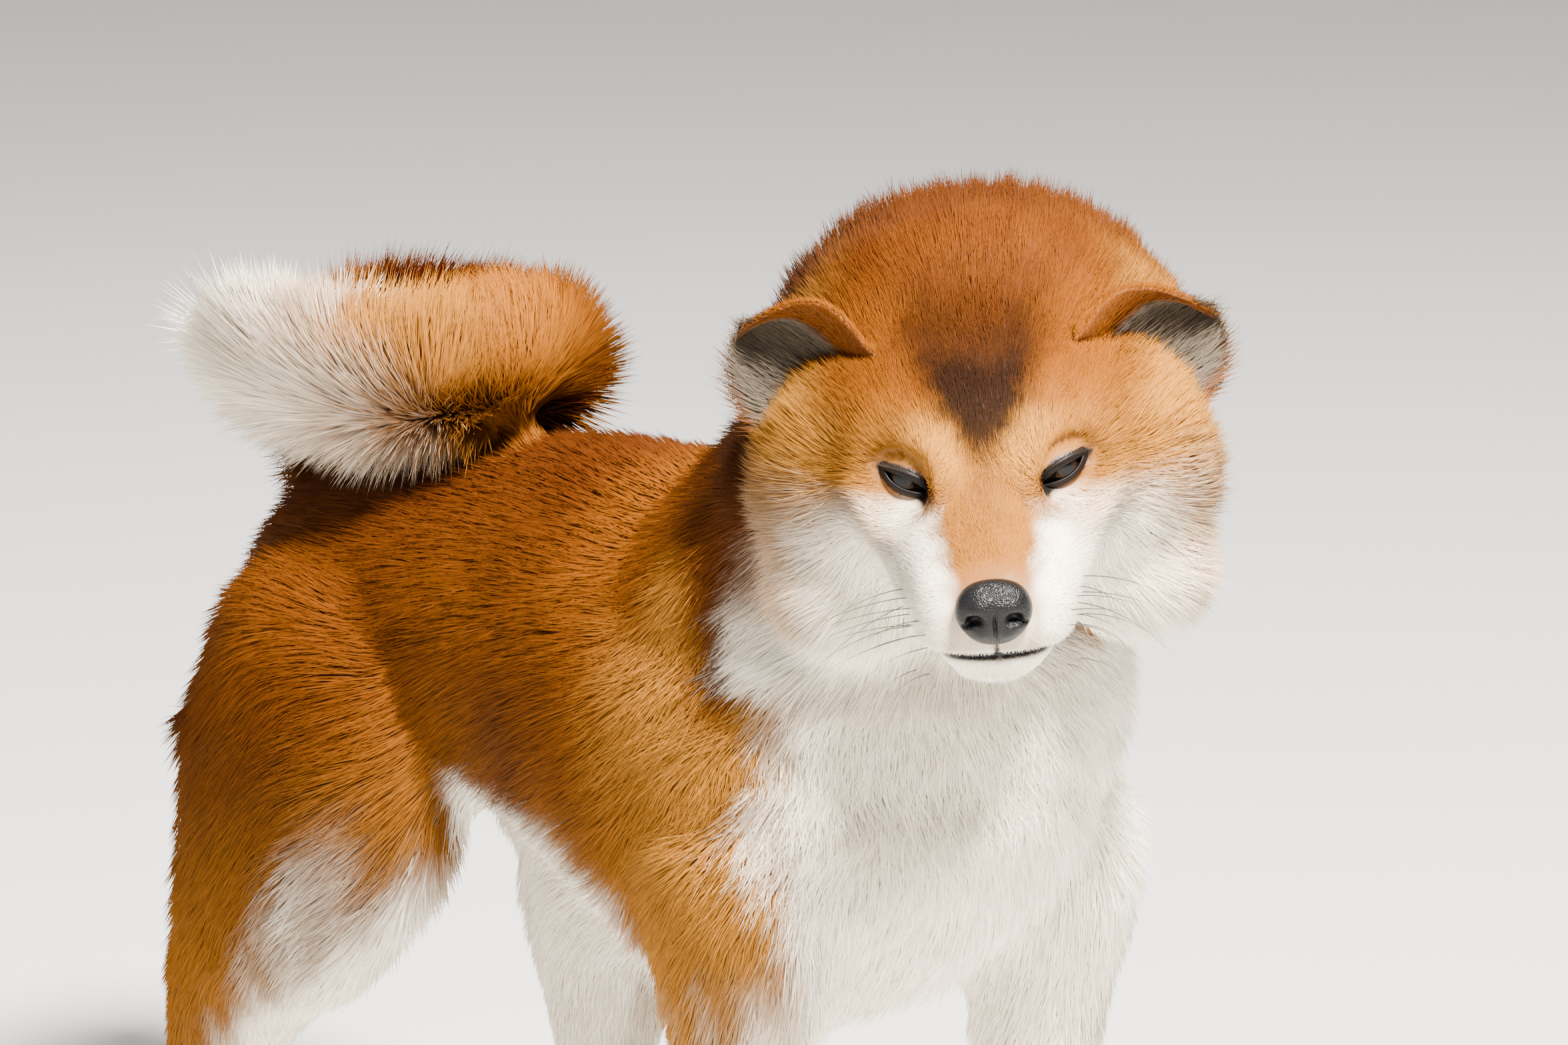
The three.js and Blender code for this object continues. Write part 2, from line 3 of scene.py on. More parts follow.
import bmesh
import bpy
import numpy as np
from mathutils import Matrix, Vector


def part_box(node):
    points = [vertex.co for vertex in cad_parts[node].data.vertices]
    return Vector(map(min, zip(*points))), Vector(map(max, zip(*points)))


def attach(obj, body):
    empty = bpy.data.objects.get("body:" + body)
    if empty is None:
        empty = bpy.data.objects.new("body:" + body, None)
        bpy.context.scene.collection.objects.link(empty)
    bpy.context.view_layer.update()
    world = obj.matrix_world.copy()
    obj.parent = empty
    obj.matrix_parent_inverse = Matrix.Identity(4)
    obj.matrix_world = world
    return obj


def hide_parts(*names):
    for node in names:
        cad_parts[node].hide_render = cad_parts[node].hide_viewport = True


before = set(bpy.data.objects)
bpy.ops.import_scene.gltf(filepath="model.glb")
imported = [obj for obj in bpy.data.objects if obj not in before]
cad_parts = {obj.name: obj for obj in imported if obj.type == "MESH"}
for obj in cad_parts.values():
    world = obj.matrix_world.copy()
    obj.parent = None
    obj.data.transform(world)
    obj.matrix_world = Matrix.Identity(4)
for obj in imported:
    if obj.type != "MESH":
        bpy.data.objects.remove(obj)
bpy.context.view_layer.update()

# A shiba inu, standing. Shapes are worked out in millimetres in the source's body frame,
# and every finished piece is put in place in metres with its object at the origin.
scene = bpy.context.scene
rng = np.random.default_rng(7)
flesh = [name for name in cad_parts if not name.startswith(("eye_", "claw_", "nose"))]

# The head's own frame, in mm and degrees.
headPlace = {
    "eyePoint": (-57.0, -284.0, 451.0),  # between the eyes, in the body frame
    "turn": -40.5,
    "nod": 9.3,
    "tilt": -4.6,
    "eyeCentre": (27.0, 9.0, 1.5),  # left eye, x left, y back, z up
    "eyeRadius": 10.5,
    "eyeTurn": 26.0,  # each eye looks outwards
    "eyeSlant": 21.5,  # the opening rises outwards
}


# Turn matrix about one axis.
def turning(axis, degrees):
    c, s = math.cos(math.radians(degrees)), math.sin(math.radians(degrees))
    return np.array({
        "x": [[1, 0, 0], [0, c, -s], [0, s, c]],
        "y": [[c, 0, s], [0, 1, 0], [-s, 0, c]],
        "z": [[c, -s, 0], [s, c, 0], [0, 0, 1]],
    }[axis])


eyePoint = np.array(headPlace["eyePoint"])
headTurning = turning("z", headPlace["turn"]) @ turning("x", headPlace["nod"])
headTurning = headTurning @ turning("y", headPlace["tilt"])
eyeLow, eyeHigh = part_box("eye_left")
eyeSeen = (np.array(eyeLow) + np.array(eyeHigh)) / 2 * 1000
shift = eyeSeen - (eyePoint + headTurning @ np.array(headPlace["eyeCentre"]))
floorHeight = -shift[2]


def fromHead(points):
    return points @ headTurning.T + eyePoint


def toHead(points):
    return (points - eyePoint) @ headTurning


def toScene(points):
    return (points + shift) * 0.001


def unit(vectors):
    return vectors / np.maximum(np.linalg.norm(vectors, axis=-1, keepdims=True), 1e-9)


# Directions laid flat on the skin whose normals are given.
def alongSkin(ways, normals):
    return unit(ways - normals * (ways * normals).sum(1, keepdims=True))


# Smooth step from 0 at low to 1 at high, in either order.
def ramp(low, high, value):
    t = np.clip((value - low) / (high - low), 0, 1)
    return t * t * (3 - 2 * t)


# Bell curve of height 1.
def hump(value, middle, reach):
    return np.exp(-(((value - middle) / reach) ** 2))


# The camera, in degrees and mm.
camera = {"turn": -40.0, "height": 12.0, "at": (-1527.24, -1917.16, 900.72), "lens": 135.0}


def makeCamera():
    a, e = math.radians(camera["turn"]), math.radians(camera["height"])
    back = Vector((math.sin(a) * math.cos(e), -math.cos(a) * math.cos(e), math.sin(e)))
    data = bpy.data.cameras.new("camera")
    data.lens = camera["lens"]
    data.sensor_width = 36
    data.clip_end = 100
    body = bpy.data.objects.new("camera", data)
    scene.collection.objects.link(body)
    body.rotation_mode = "QUATERNION"
    body.rotation_quaternion = (-back).to_track_quat("-Z", "Y")
    body.location = Vector(toScene(np.array(camera["at"])))
    scene.camera = body


makeCamera()
print("camera placed")


# Meshes from arrays.

# A mesh object at the origin from points in mm and lists of face arrays of one size each.
def makePiece(name, points, faces, material=None, smooth=True):
    faces = faces if isinstance(faces, list) else [faces]
    mesh = bpy.data.meshes.new(name)
    sizes = np.concatenate([np.full(len(f), f.shape[1]) for f in faces])
    corners = np.concatenate([f.reshape(-1) for f in faces]).astype(np.int32)
    mesh.vertices.add(len(points))
    mesh.vertices.foreach_set("co", toScene(points).astype(np.float32).reshape(-1))
    mesh.loops.add(len(corners))
    mesh.loops.foreach_set("vertex_index", corners)
    mesh.polygons.add(len(sizes))
    starts = np.concatenate([[0], np.cumsum(sizes)[:-1]]).astype(np.int32)
    mesh.polygons.foreach_set("loop_start", starts)
    mesh.polygons.foreach_set("use_smooth", np.full(len(sizes), smooth))
    mesh.update(calc_edges=True)
    mesh.validate()
    piece = bpy.data.objects.new(name, mesh)
    scene.collection.objects.link(piece)
    if material:
        mesh.materials.append(material)
    return piece


def readPoints(mesh):
    spots = np.zeros(len(mesh.vertices) * 3, np.float32)
    mesh.vertices.foreach_get("co", spots)
    return spots.reshape(-1, 3).astype(float) * 1000 - shift


# Stores each array as an attribute on the points: three columns as a vector, else a number.
def writeMarks(mesh, **marks):
    for name, values in marks.items():
        wide = values.ndim == 2
        layer = mesh.attributes.new(name, "FLOAT_VECTOR" if wide else "FLOAT", "POINT")
        layer.data.foreach_set("vector" if wide else "value", values.astype(np.float32).reshape(-1))


# Quads of a grid whose columns close into a ring, rows counted from the first pole.
def gridFaces(rows, columns):
    r, c = np.meshgrid(np.arange(rows - 1), np.arange(columns), indexing="ij")
    d = (c + 1) % columns
    low, high = r * columns, (r + 1) * columns
    return np.stack([low + c, low + d, high + d, high + c], -1).reshape(-1, 4)


# Two fans that close the ends of such a grid on two added pole points.
def capFaces(rows, columns):
    c = np.arange(columns)
    d = (c + 1) % columns
    first, last, lastRow = rows * columns, rows * columns + 1, (rows - 1) * columns
    start = np.stack([np.full(columns, first), d, c], -1)
    end = np.stack([np.full(columns, last), lastRow + c, lastRow + d], -1)
    return np.concatenate([start, end])


# Puts (points, quads, triangles) shapes behind one another in one set of arrays.
def joined(shapes):
    points, quads, triangles, count = [], [], [], 0
    for spots, fours, threes in shapes:
        points.append(spots)
        quads.append(fours + count)
        triangles.append(threes + count)
        count += len(spots)
    return np.concatenate(points), np.concatenate(quads), np.concatenate(triangles)


# Forms of the body.

# Catmull-Rom curve through the rows, ends carried on in a straight line.
def along(rows, t):
    rows = np.asarray(rows, float)
    rows = np.vstack([2 * rows[0] - rows[1], rows, 2 * rows[-1] - rows[-2]])
    spot = np.clip(t, 0, 1) * (len(rows) - 3)
    first = np.minimum(spot.astype(int), len(rows) - 4)
    u = (spot - first)[:, None]
    a, b, c, d = (rows[first + n] for n in range(4))
    bend = 2 * a - 5 * b + 4 * c - d
    twist = 3 * b - a - 3 * c + d
    return 0.5 * (2 * b + (c - a) * u + bend * u**2 + twist * u**3)


# A body form: its centre runs on the curve through the rows, and each section is a superellipse
# of the row's half width, height above and height below, rounded off at both ends like a ball.
# Bumps lift the surface along its outward direction by a bell curve.
def form(rows, up=(0, 0, 1), blunt=(0.1, 0.1), around=56, rings=70, bumps=(), inHead=False):
    t = 0.5 - 0.5 * np.cos(np.pi * (np.arange(rings) + 0.5) / rings)
    row = along(rows, t)
    ahead, behind = along(rows, np.minimum(t + 0.01, 1)), along(rows, np.maximum(t - 0.01, 0))
    line = unit(ahead[:, :3] - behind[:, :3])
    top = np.array(up, float)
    tops = np.zeros_like(line)
    for n, way in enumerate(line):
        side = unit(np.cross(top, way))
        top = np.cross(way, side)
        tops[n] = top
    sides = np.cross(tops, line)
    ends = np.minimum(np.clip(t / blunt[0], 0, 1), np.clip((1 - t) / blunt[1], 0, 1))
    rounding = np.sqrt(1 - (1 - ends) ** 2)[:, None]
    angle = 2 * np.pi * np.arange(around) / around
    c, s = -np.cos(angle)[None], np.sin(angle)[None]
    squareUp, squareDown = (row[:, 6:7], row[:, 7:8]) if row.shape[1] > 6 else (2, 2)
    square = np.where(s > 0, squareUp, squareDown)
    high = np.where(s > 0, row[:, 4:5], row[:, 5:6])
    across = np.sign(c) * np.abs(c) ** (2 / square) * row[:, 3:4] * rounding
    rise = np.sign(s) * np.abs(s) ** (2 / square) * high * rounding
    points = row[:, None, :3] + sides[:, None] * across[..., None] + tops[:, None] * rise[..., None]
    out = unit(points - row[:, None, :3])
    for at, reach, lift in bumps:
        for spot in {tuple(at), (-at[0], at[1], at[2])}:
            far = np.sum((points - np.array(spot)) ** 2, -1)
            points = points + out * (lift * np.exp(-far / reach**2))[..., None]
    poles = along(rows, np.array([0.0, 1.0]))[:, :3]
    points = np.concatenate([points.reshape(-1, 3), poles])
    if inHead:
        points = fromHead(points)
    return points, gridFaces(rings, around), capFaces(rings, around)


# An ellipsoid with its poles up and down.
def ball(centre, size, inHead=False, around=48, rings=32):
    tilt = np.pi * (np.arange(rings) + 0.5) / rings
    angle = 2 * np.pi * np.arange(around) / around
    x = np.sin(tilt)[:, None] * np.cos(angle)[None]
    y = np.sin(tilt)[:, None] * np.sin(angle)[None]
    z = np.repeat(np.cos(tilt)[:, None], around, 1)
    points = np.stack([x, y, z], -1).reshape(-1, 3)
    points = np.concatenate([points, [[0, 0, 1], [0, 0, -1]]]) * np.array(size) + np.array(centre)
    if inHead:
        points = fromHead(points)
    return points, gridFaces(rings, around)[:, ::-1], capFaces(rings, around)[:, ::-1]


# Rows are centre x, y, z, half width, height above, height below, squareness above and below.
# The legs' rows have no squareness, and the tail's have one radius.
body = {
    "torso": [
        (0, 238, 316, 28, 28, 28, 2, 2), (0, 212, 318, 58, 52, 55, 2, 2),
        (0, 160, 320, 78, 66, 72, 2, 2), (0, 95, 322, 82, 84, 82, 2, 2),
        (0, 25, 316, 86, 101, 78, 2, 2), (0, -45, 310, 94, 106, 100, 2.1, 2.1),
        (0, -115, 304, 98, 104, 126, 2.1, 2.2), (0, -168, 290, 93, 92, 112, 2, 2.2),
        (0, -206, 270, 74, 68, 82, 2, 2), (0, -226, 256, 42, 42, 50, 2, 2),
    ],
    "neck": [
        (0, -62, 330, 80, 66, 84, 2, 2), (3, -112, 362, 86, 72, 92, 2, 2),
        (9, -146, 400, 86, 74, 90, 2, 2),
        (15, -174, 438, 83, 73, 84, 2, 2), (18, -188, 468, 66, 62, 60, 2, 2),
    ],
    "chestRuff": {"centre": (10, -174, 338), "size": (93, 80, 80)},
    "napeRuff": {"centre": (0, 126, 0), "size": (92, 73, 80)},
    "cheekLobe": {"centre": (54, 38, -56), "size": (34, 28, 29)},
    "head": [
        (0, -72, -31, 19, 15.5, 16, 2, 2.2), (0, -62, -32, 28.5, 21, 19.5, 2.2, 2.5),
        (0, -46, -32, 32.5, 24, 21, 2.2, 2.6), (0, -30, -31, 35.5, 27.5, 23, 2.1, 2.6),
        (0, -14, -28, 42, 32, 29, 2, 2.4), (0, 2, -23, 56, 41, 42, 1.9, 2.2),
        (0, 20, -19, 76, 54, 58, 1.8, 2.1), (0, 42, -16, 91, 61, 66, 1.75, 2.1),
        (0, 68, -12, 92, 62, 65, 1.8, 2.1), (0, 94, -6, 84, 58, 61, 2, 2),
        (0, 114, -2, 58, 42, 44, 2, 2),
    ],
    "faceBumps": [  # at, reach, lift
        ((30, -3, 0), 9.5, -6),  # eye socket
        ((27, 6, 16), 8, 2.5),  # brow
        ((43, -4, -45), 10, -5),  # hollow behind the lips
        ((27, -45, -49), 9, 2),  # upper lip
        ((80, 38, -44), 24, 4),  # cheek
        ((0, -5, 8), 9, -1.2),  # stop
        ((0, 22, 38), 9, -0.8),  # furrow of the forehead
    ],
    "jaw": [
        (0, -69, -51, 12, 6, 6.5, 2, 2), (0, -60, -51, 19, 6, 9, 2, 2),
        (0, -40, -50, 24, 6, 11, 2, 2), (0, -18, -49, 27, 6, 14, 2, 2),
        (0, -2, -50, 26, 6, 14, 2, 2),
    ],
    "foreLeg": [
        (-56, -146, 318, 34, 46, 44), (-62, -152, 276, 42, 52, 52), (-64, -151, 240, 39, 50, 50),
        (-65, -149, 200, 31, 38, 38), (-65, -148, 160, 25, 29, 29), (-64, -148, 112, 20.5, 22, 23),
        (-64, -150, 76, 20, 21, 21), (-64, -156, 44, 20, 19, 20), (-64, -162, 24, 17, 16, 16),
    ],
    "hindLeg": [
        (-42, 140, 362, 38, 62, 52), (-56, 140, 312, 48, 86, 72), (-66, 136, 262, 47, 94, 97),
        (-73, 155, 210, 41, 76, 82), (-76, 184, 162, 32, 47, 55), (-76, 207, 120, 25, 32, 38),
        (-75, 218, 90, 21, 23, 25), (-74, 213, 55, 20, 20, 20), (-74, 205, 26, 17, 18, 18),
    ],
    "foreStep": [-20, -22, -22, -22, -24, -25, -26, -27, -27],  # how far the left leg stands back
    "foreApart": [4, 6, 8, 10, 10, 8, 6, 6, 6],
    "hindStep": [-4, -12, -26, -50, -68, -88, -98, -100, -100],
    "forePaw": (27, 42, 24),
    "hindPaw": (25, 40, 22),
    "tail": [
        (0, 198, 342, 20), (2, 226, 368, 21), (8, 238, 400, 22), (15, 224, 426, 22),
        (20, 180, 437, 24), (20, 125, 439, 24), (9, 86, 440, 24), (-12, 68, 439, 24),
        (-34, 84, 435, 25), (-46, 112, 431, 26), (-53, 160, 431, 27), (-57, 200, 438, 21),
        (-59, 222, 444, 12),
    ],
}


def mirroredLeg(rows, step, apart=None):
    rows = np.array(rows, float)
    rows[:, 0] = -rows[:, 0] + (np.array(apart) if apart else 0)
    rows[:, 1] += np.array(step)
    return rows


legs = [  # rows and paw of the right and the left foreleg, then of the hind legs
    (np.array(body["foreLeg"], float), body["forePaw"]),
    (mirroredLeg(body["foreLeg"], body["foreStep"], body["foreApart"]), body["forePaw"]),
    (np.array(body["hindLeg"], float), body["hindPaw"]),
    (mirroredLeg(body["hindLeg"], body["hindStep"]), body["hindPaw"]),
]


# Centres and sizes of the four toes of one paw, in the body frame.
def toeSpots(rows, paw):
    width, length, height = paw
    place = np.array([-1.5, -0.5, 0.5, 1.5])
    ahead = np.where(np.abs(place) > 1, 0.28, 0.62) * length
    ankle = rows[-2]
    across = ankle[0] + place * width * 0.44
    centres = np.stack([across, ankle[1] - 4 - ahead, np.full(4, height * 0.62)], -1)
    return centres, np.array([width * 0.35, length * 0.46, height * 0.64])


def pawForms(rows, paw):
    width, length, height = paw
    ankle = rows[-2]
    shapes = [ball((ankle[0], ankle[1] - 3, height * 0.72), (width * 0.92, length * 0.66, height))]
    centres, size = toeSpots(rows, paw)
    shapes += [ball(centre, size, around=28, rings=20) for centre in centres]
    return shapes


def tailRows():
    rows = np.array(body["tail"], float)
    return np.concatenate([rows[:, :4], rows[:, 3:4], rows[:, 3:4]], 1)


def bodyForms():
    shapes = [
        form(body["torso"], blunt=(0.06, 0.06), rings=90, around=90),
        form(body["neck"], blunt=(0.12, 0.25), rings=60, around=80),
        ball(body["chestRuff"]["centre"], body["chestRuff"]["size"], around=80, rings=50),
        ball(body["napeRuff"]["centre"], body["napeRuff"]["size"], True, around=80, rings=50),
        ball(body["cheekLobe"]["centre"], body["cheekLobe"]["size"], True),
        ball(np.array(body["cheekLobe"]["centre"]) * (-1, 1, 1), body["cheekLobe"]["size"], True),
        form(body["head"], blunt=(0.08, 0.06), rings=130, around=120,
             bumps=body["faceBumps"], inHead=True),
        form(body["jaw"], blunt=(0.2, 0.2), rings=50, around=40, inHead=True),
        form(tailRows(), up=(1, 0, 0.1), blunt=(0.05, 0.1), rings=120, around=36),
    ]
    for rows, paw in legs:
        shapes.append(form(rows, up=(0, -1, 0), blunt=(0.12, 0.08)))
        shapes += pawForms(rows, paw)
    return shapes


# The ears, in the head's frame.
earShape = {
    "inner": (41, 46, 40),
    "outer": (84, 64, -4),
    "tips": {1: (97, 74, 34), -1: (95, 74, 41)},
    "long": 0.93,
    "wide": 0.93,
    "cup": 17,
    "thick": 1.5,  # half the skin's thickness
    "bow": 9,
    "back": (-0.25, 0.95, 0.1),
}


# A bent sheet: each ring is a thin flat loop across the ear. Its middle runs in a line to the tip,
# its width is one less the 2.3 power of the way there, to the 0.8 power, and its hollow is a
# parabola across.
def earForm(sign, rings=60, around=64):
    t = np.linspace(-0.12, 1.0, rings)[:, None]
    angle = 2 * np.pi * np.arange(around)[None] / around
    across = np.sign(np.cos(angle)) * np.abs(np.cos(angle)) ** 0.8
    thick = np.sin(angle)
    inner = np.array(earShape["inner"], float)
    outer = np.array(earShape["outer"], float)
    tip = np.array(earShape["tips"][sign], float)
    middle = (inner + outer) / 2
    half = inner - middle
    back = unit(np.array(earShape["back"]))
    lift = np.clip(t, 0, 1)
    wide = np.maximum(1 - lift**2.3, 0.0) ** 0.8 + 0.02
    points = middle + (tip - middle) * (earShape["long"] * t)[..., None]
    points = points + half * (earShape["wide"] * across * wide)[..., None]
    points[..., 2] += earShape["bow"] * np.sin(np.pi * lift) * (1 + across) * 0.5
    rim = 1 + 0.9 * ramp(0.55, 0.95, -across) + 2.6 * ramp(0.30, 0.75, across)
    hollow = earShape["cup"] * (1 - across**2) * (1 - 0.6 * lift)
    hollow = hollow + thick * rim * earShape["thick"] * (1.2 - 0.3 * lift)
    points = points + back * (hollow + 2)[..., None]
    ends = np.stack([points[0].mean(0), points[-1].mean(0)])
    points = np.concatenate([points.reshape(-1, 3), ends]) * np.array([sign, 1, 1])

    def onGrid(values, *poles):
        return np.concatenate([np.broadcast_to(values, (rings, around)).reshape(-1), poles])

    marks = {
        "inside": onGrid((thick < 0) * ramp(0.62, 0.42, across), 0, 0),
        "rise": onGrid(t, 0, 1),
        "across": onGrid(across, 0, 0),
    }
    quads, triangles = gridFaces(rings, around), capFaces(rings, around)
    if sign > 0:
        quads, triangles = quads[:, ::-1], triangles[:, ::-1]
    return fromHead(points), quads, triangles, marks


# The skin.
skinShape = {
    "voxel": 0.0037,  # metres
    "lidBulge": 0.9,  # how far the lids stand before the eyeball
    "lidFold": {"above": 3.6, "wide": 0.8, "deep": 0.7},
    "groove": {"wide": 1.9, "deep": 3.2},  # the line of the mouth
    "lipBack": 0.8,
    "overFloor": 0.3,  # no point of the skin or the coat is lower
}


# One closed surface of even squares round all the forms.
def remeshed(shapes):
    points, quads, triangles = joined(shapes)
    rough = makePiece("rough", points, [quads, triangles])
    remesh = rough.modifiers.new("remesh", "REMESH")
    remesh.mode = "VOXEL"
    remesh.voxel_size = skinShape["voxel"]
    bpy.context.view_layer.update()
    graph = bpy.context.evaluated_depsgraph_get()
    done = bpy.data.meshes.new_from_object(rough.evaluated_get(graph))
    bpy.data.objects.remove(rough)
    return done


def edgesOf(mesh):
    pairs = np.zeros(len(mesh.edges) * 2, np.int32)
    mesh.edges.foreach_get("vertices", pairs)
    return pairs.reshape(-1, 2)


# Moves each value towards the mean of its neighbours on the mesh.
def evened(values, pairs, times, amount=0.5):
    flat = values.reshape(len(values), -1).astype(float)
    count = np.maximum(np.bincount(pairs.reshape(-1), minlength=len(flat)), 1)
    for _ in range(times):
        for n in range(flat.shape[1]):
            column = flat[:, n]
            total = np.bincount(pairs[:, 0], column[pairs[:, 1]], len(flat))
            total += np.bincount(pairs[:, 1], column[pairs[:, 0]], len(flat))
            flat[:, n] = column + amount * (total / count - column)
    return flat.reshape(values.shape)


def normalsOf(mesh):
    flat = np.zeros(len(mesh.vertices) * 3, np.float32)
    mesh.vertex_normals.foreach_get("vector", flat)
    return flat.reshape(-1, 3).astype(float)


def placePoints(mesh, points):
    mesh.vertices.foreach_set("co", toScene(points).astype(np.float32).reshape(-1))
    mesh.update()


# Cuts every edge whose two ends are chosen in half, faces split to match.
def finer(mesh, chosen):
    pairs = edgesOf(mesh)
    picked = np.nonzero(chosen[pairs[:, 0]] & chosen[pairs[:, 1]])[0]
    work = bmesh.new()
    work.from_mesh(mesh)
    work.edges.ensure_lookup_table()
    edges = [work.edges[n] for n in picked]
    bmesh.ops.subdivide_edges(work, edges=edges, cuts=1, use_grid_fill=True)
    work.to_mesh(mesh)
    work.free()


tailSteps = 90
tailLine = along(tailRows(), np.linspace(0, 1, tailSteps))[:, :3]
tailWay = unit(np.gradient(tailLine, axis=0))
tailSweep = np.array([  # step along the tail, and how far the hair sweeps towards the tip there
    (0, 20, 38, 50, 60, 68, 76, 89), (2.5, 2.0, 1.0, 0.2, -0.4, 0.2, 1.1, 2.4),
])


# Distance to the tail's middle line, and the nearest of its steps.
def nearTail(spots):
    far = np.linalg.norm(spots[:, None] - tailLine[None], axis=2)
    first = far.argmin(1)
    return far[np.arange(len(spots)), first], first


# The coat's regions, lie and colours.

# In mm, how deep the skin lies and how long and wide a tuft is; in degrees, the tuft's lift at the
# root and further out; in square mm, the skin for each tuft.
coats = {
    "torso": {"depth": 7, "long": 22, "wide": 0.88, "lift": 26, "lie": 13, "each": 2.7},
    "belly": {"depth": 6, "long": 20, "wide": 0.95, "lift": 28, "lie": 14, "each": 3.8},
    "thigh": {"depth": 6, "long": 19, "wide": 0.85, "lift": 26, "lie": 13, "each": 2.3},
    "breech": {"depth": 8, "long": 27, "wide": 0.95, "lift": 32, "lie": 18, "each": 2.3},
    "shoulder": {"depth": 6, "long": 18, "wide": 0.8, "lift": 26, "lie": 13, "each": 2.1},
    "leg": {"depth": 3.0, "long": 10, "wide": 0.78, "lift": 24, "lie": 12, "each": 2.9},
    "paw": {"depth": 1.6, "long": 6.5, "wide": 0.68, "lift": 24, "lie": 13, "each": 2.7},
    "ruff": {"depth": 9, "long": 18, "wide": 0.70, "lift": 40, "lie": 22, "each": 1.45},
    "nape": {"depth": 13, "long": 24, "wide": 0.55, "lift": 30, "lie": 21, "each": 1.05},
    "cheek": {"depth": 6.5, "long": 18, "wide": 0.56, "lift": 30, "lie": 15, "each": 0.82},
    "crown": {"depth": 4.5, "long": 13, "wide": 0.5, "lift": 26, "lie": 13, "each": 0.72},
    "face": {"depth": 2.3, "long": 8.0, "wide": 0.34, "lift": 24, "lie": 11, "each": 0.42},
    "muzzle": {"depth": 1.0, "long": 5, "wide": 0.32, "lift": 22, "lie": 11, "each": 0.36},
    "ear": {"depth": 0.0, "long": 5.0, "wide": 0.45, "lift": 26, "lie": 12, "each": 0.85},
    "earHollow": {"depth": 0.0, "long": 12, "wide": 0.36, "lift": 30, "lie": 15, "each": 1.2},
    "tail": {"depth": 7, "long": 33, "wide": 0.72, "lift": 30, "lie": 19, "each": 1.12},
}
coatNames = list(coats)


# Weights of the regions: each layer covers the ones before it by its own amount.
def regionsOf(spots, normals, ears):
    x, y, z = spots.T
    hx, hy, hz = toHead(spots).T
    side = np.abs(hx)
    headIn = ramp(-106, -94, hz) * ramp(122, 100, hy) * ramp(112, 100, side) * ramp(95, 75, hz)
    far, _ = nearTail(spots)
    hind = ramp(95, 135, y) * ramp(335, 300, z)
    fore = ramp(-80, -110, y) * ramp(300, 255, z) * ramp(22, 40, np.abs(x))
    elbow = ramp(-0.1, 0.5, normals[:, 1]) * ramp(330, 280, z)
    layers = [
        ("belly", ramp(-0.25, -0.75, normals[:, 2]) * ramp(290, 250, z)),
        ("shoulder", fore),
        ("thigh", hind),
        ("breech", hind * ramp(0.35, 0.8, normals[:, 1]) * ramp(165, 205, z)),
        ("leg", ramp(185, 135, z)),
        ("paw", ramp(58, 40, z)),
        ("ruff", ramp(-70, -125, y) * ramp(255, 300, z) * (1 - elbow)),
        ("nape", ramp(78, 104, hy) * ramp(-70, -30, hz) * ramp(-55, -100, y) * ramp(350, 385, z)),
        ("crown", headIn * ramp(18, 34, hz)),
        ("cheek", headIn * ramp(34, 14, hz) * ramp(2, 26, hy)),
        ("face", headIn * ramp(50, 26, hy) * ramp(64, 46, side + np.maximum(-hz - 10, 0) * 0.55)),
        ("muzzle", headIn * ramp(-6, -22, hy) * ramp(52, 40, side)),
        ("tail", ramp(40, 30, far) * ramp(372, 392, z) * ramp(20, 60, y)),
        ("ear", ears["any"]),
        ("earHollow", ears["any"] * ears["inside"]),
    ]
    weights = np.zeros((len(spots), len(coatNames)))
    weights[:, 0] = 1
    for name, amount in layers:
        weights *= (1 - amount)[:, None]
        weights[:, coatNames.index(name)] += amount
    return weights


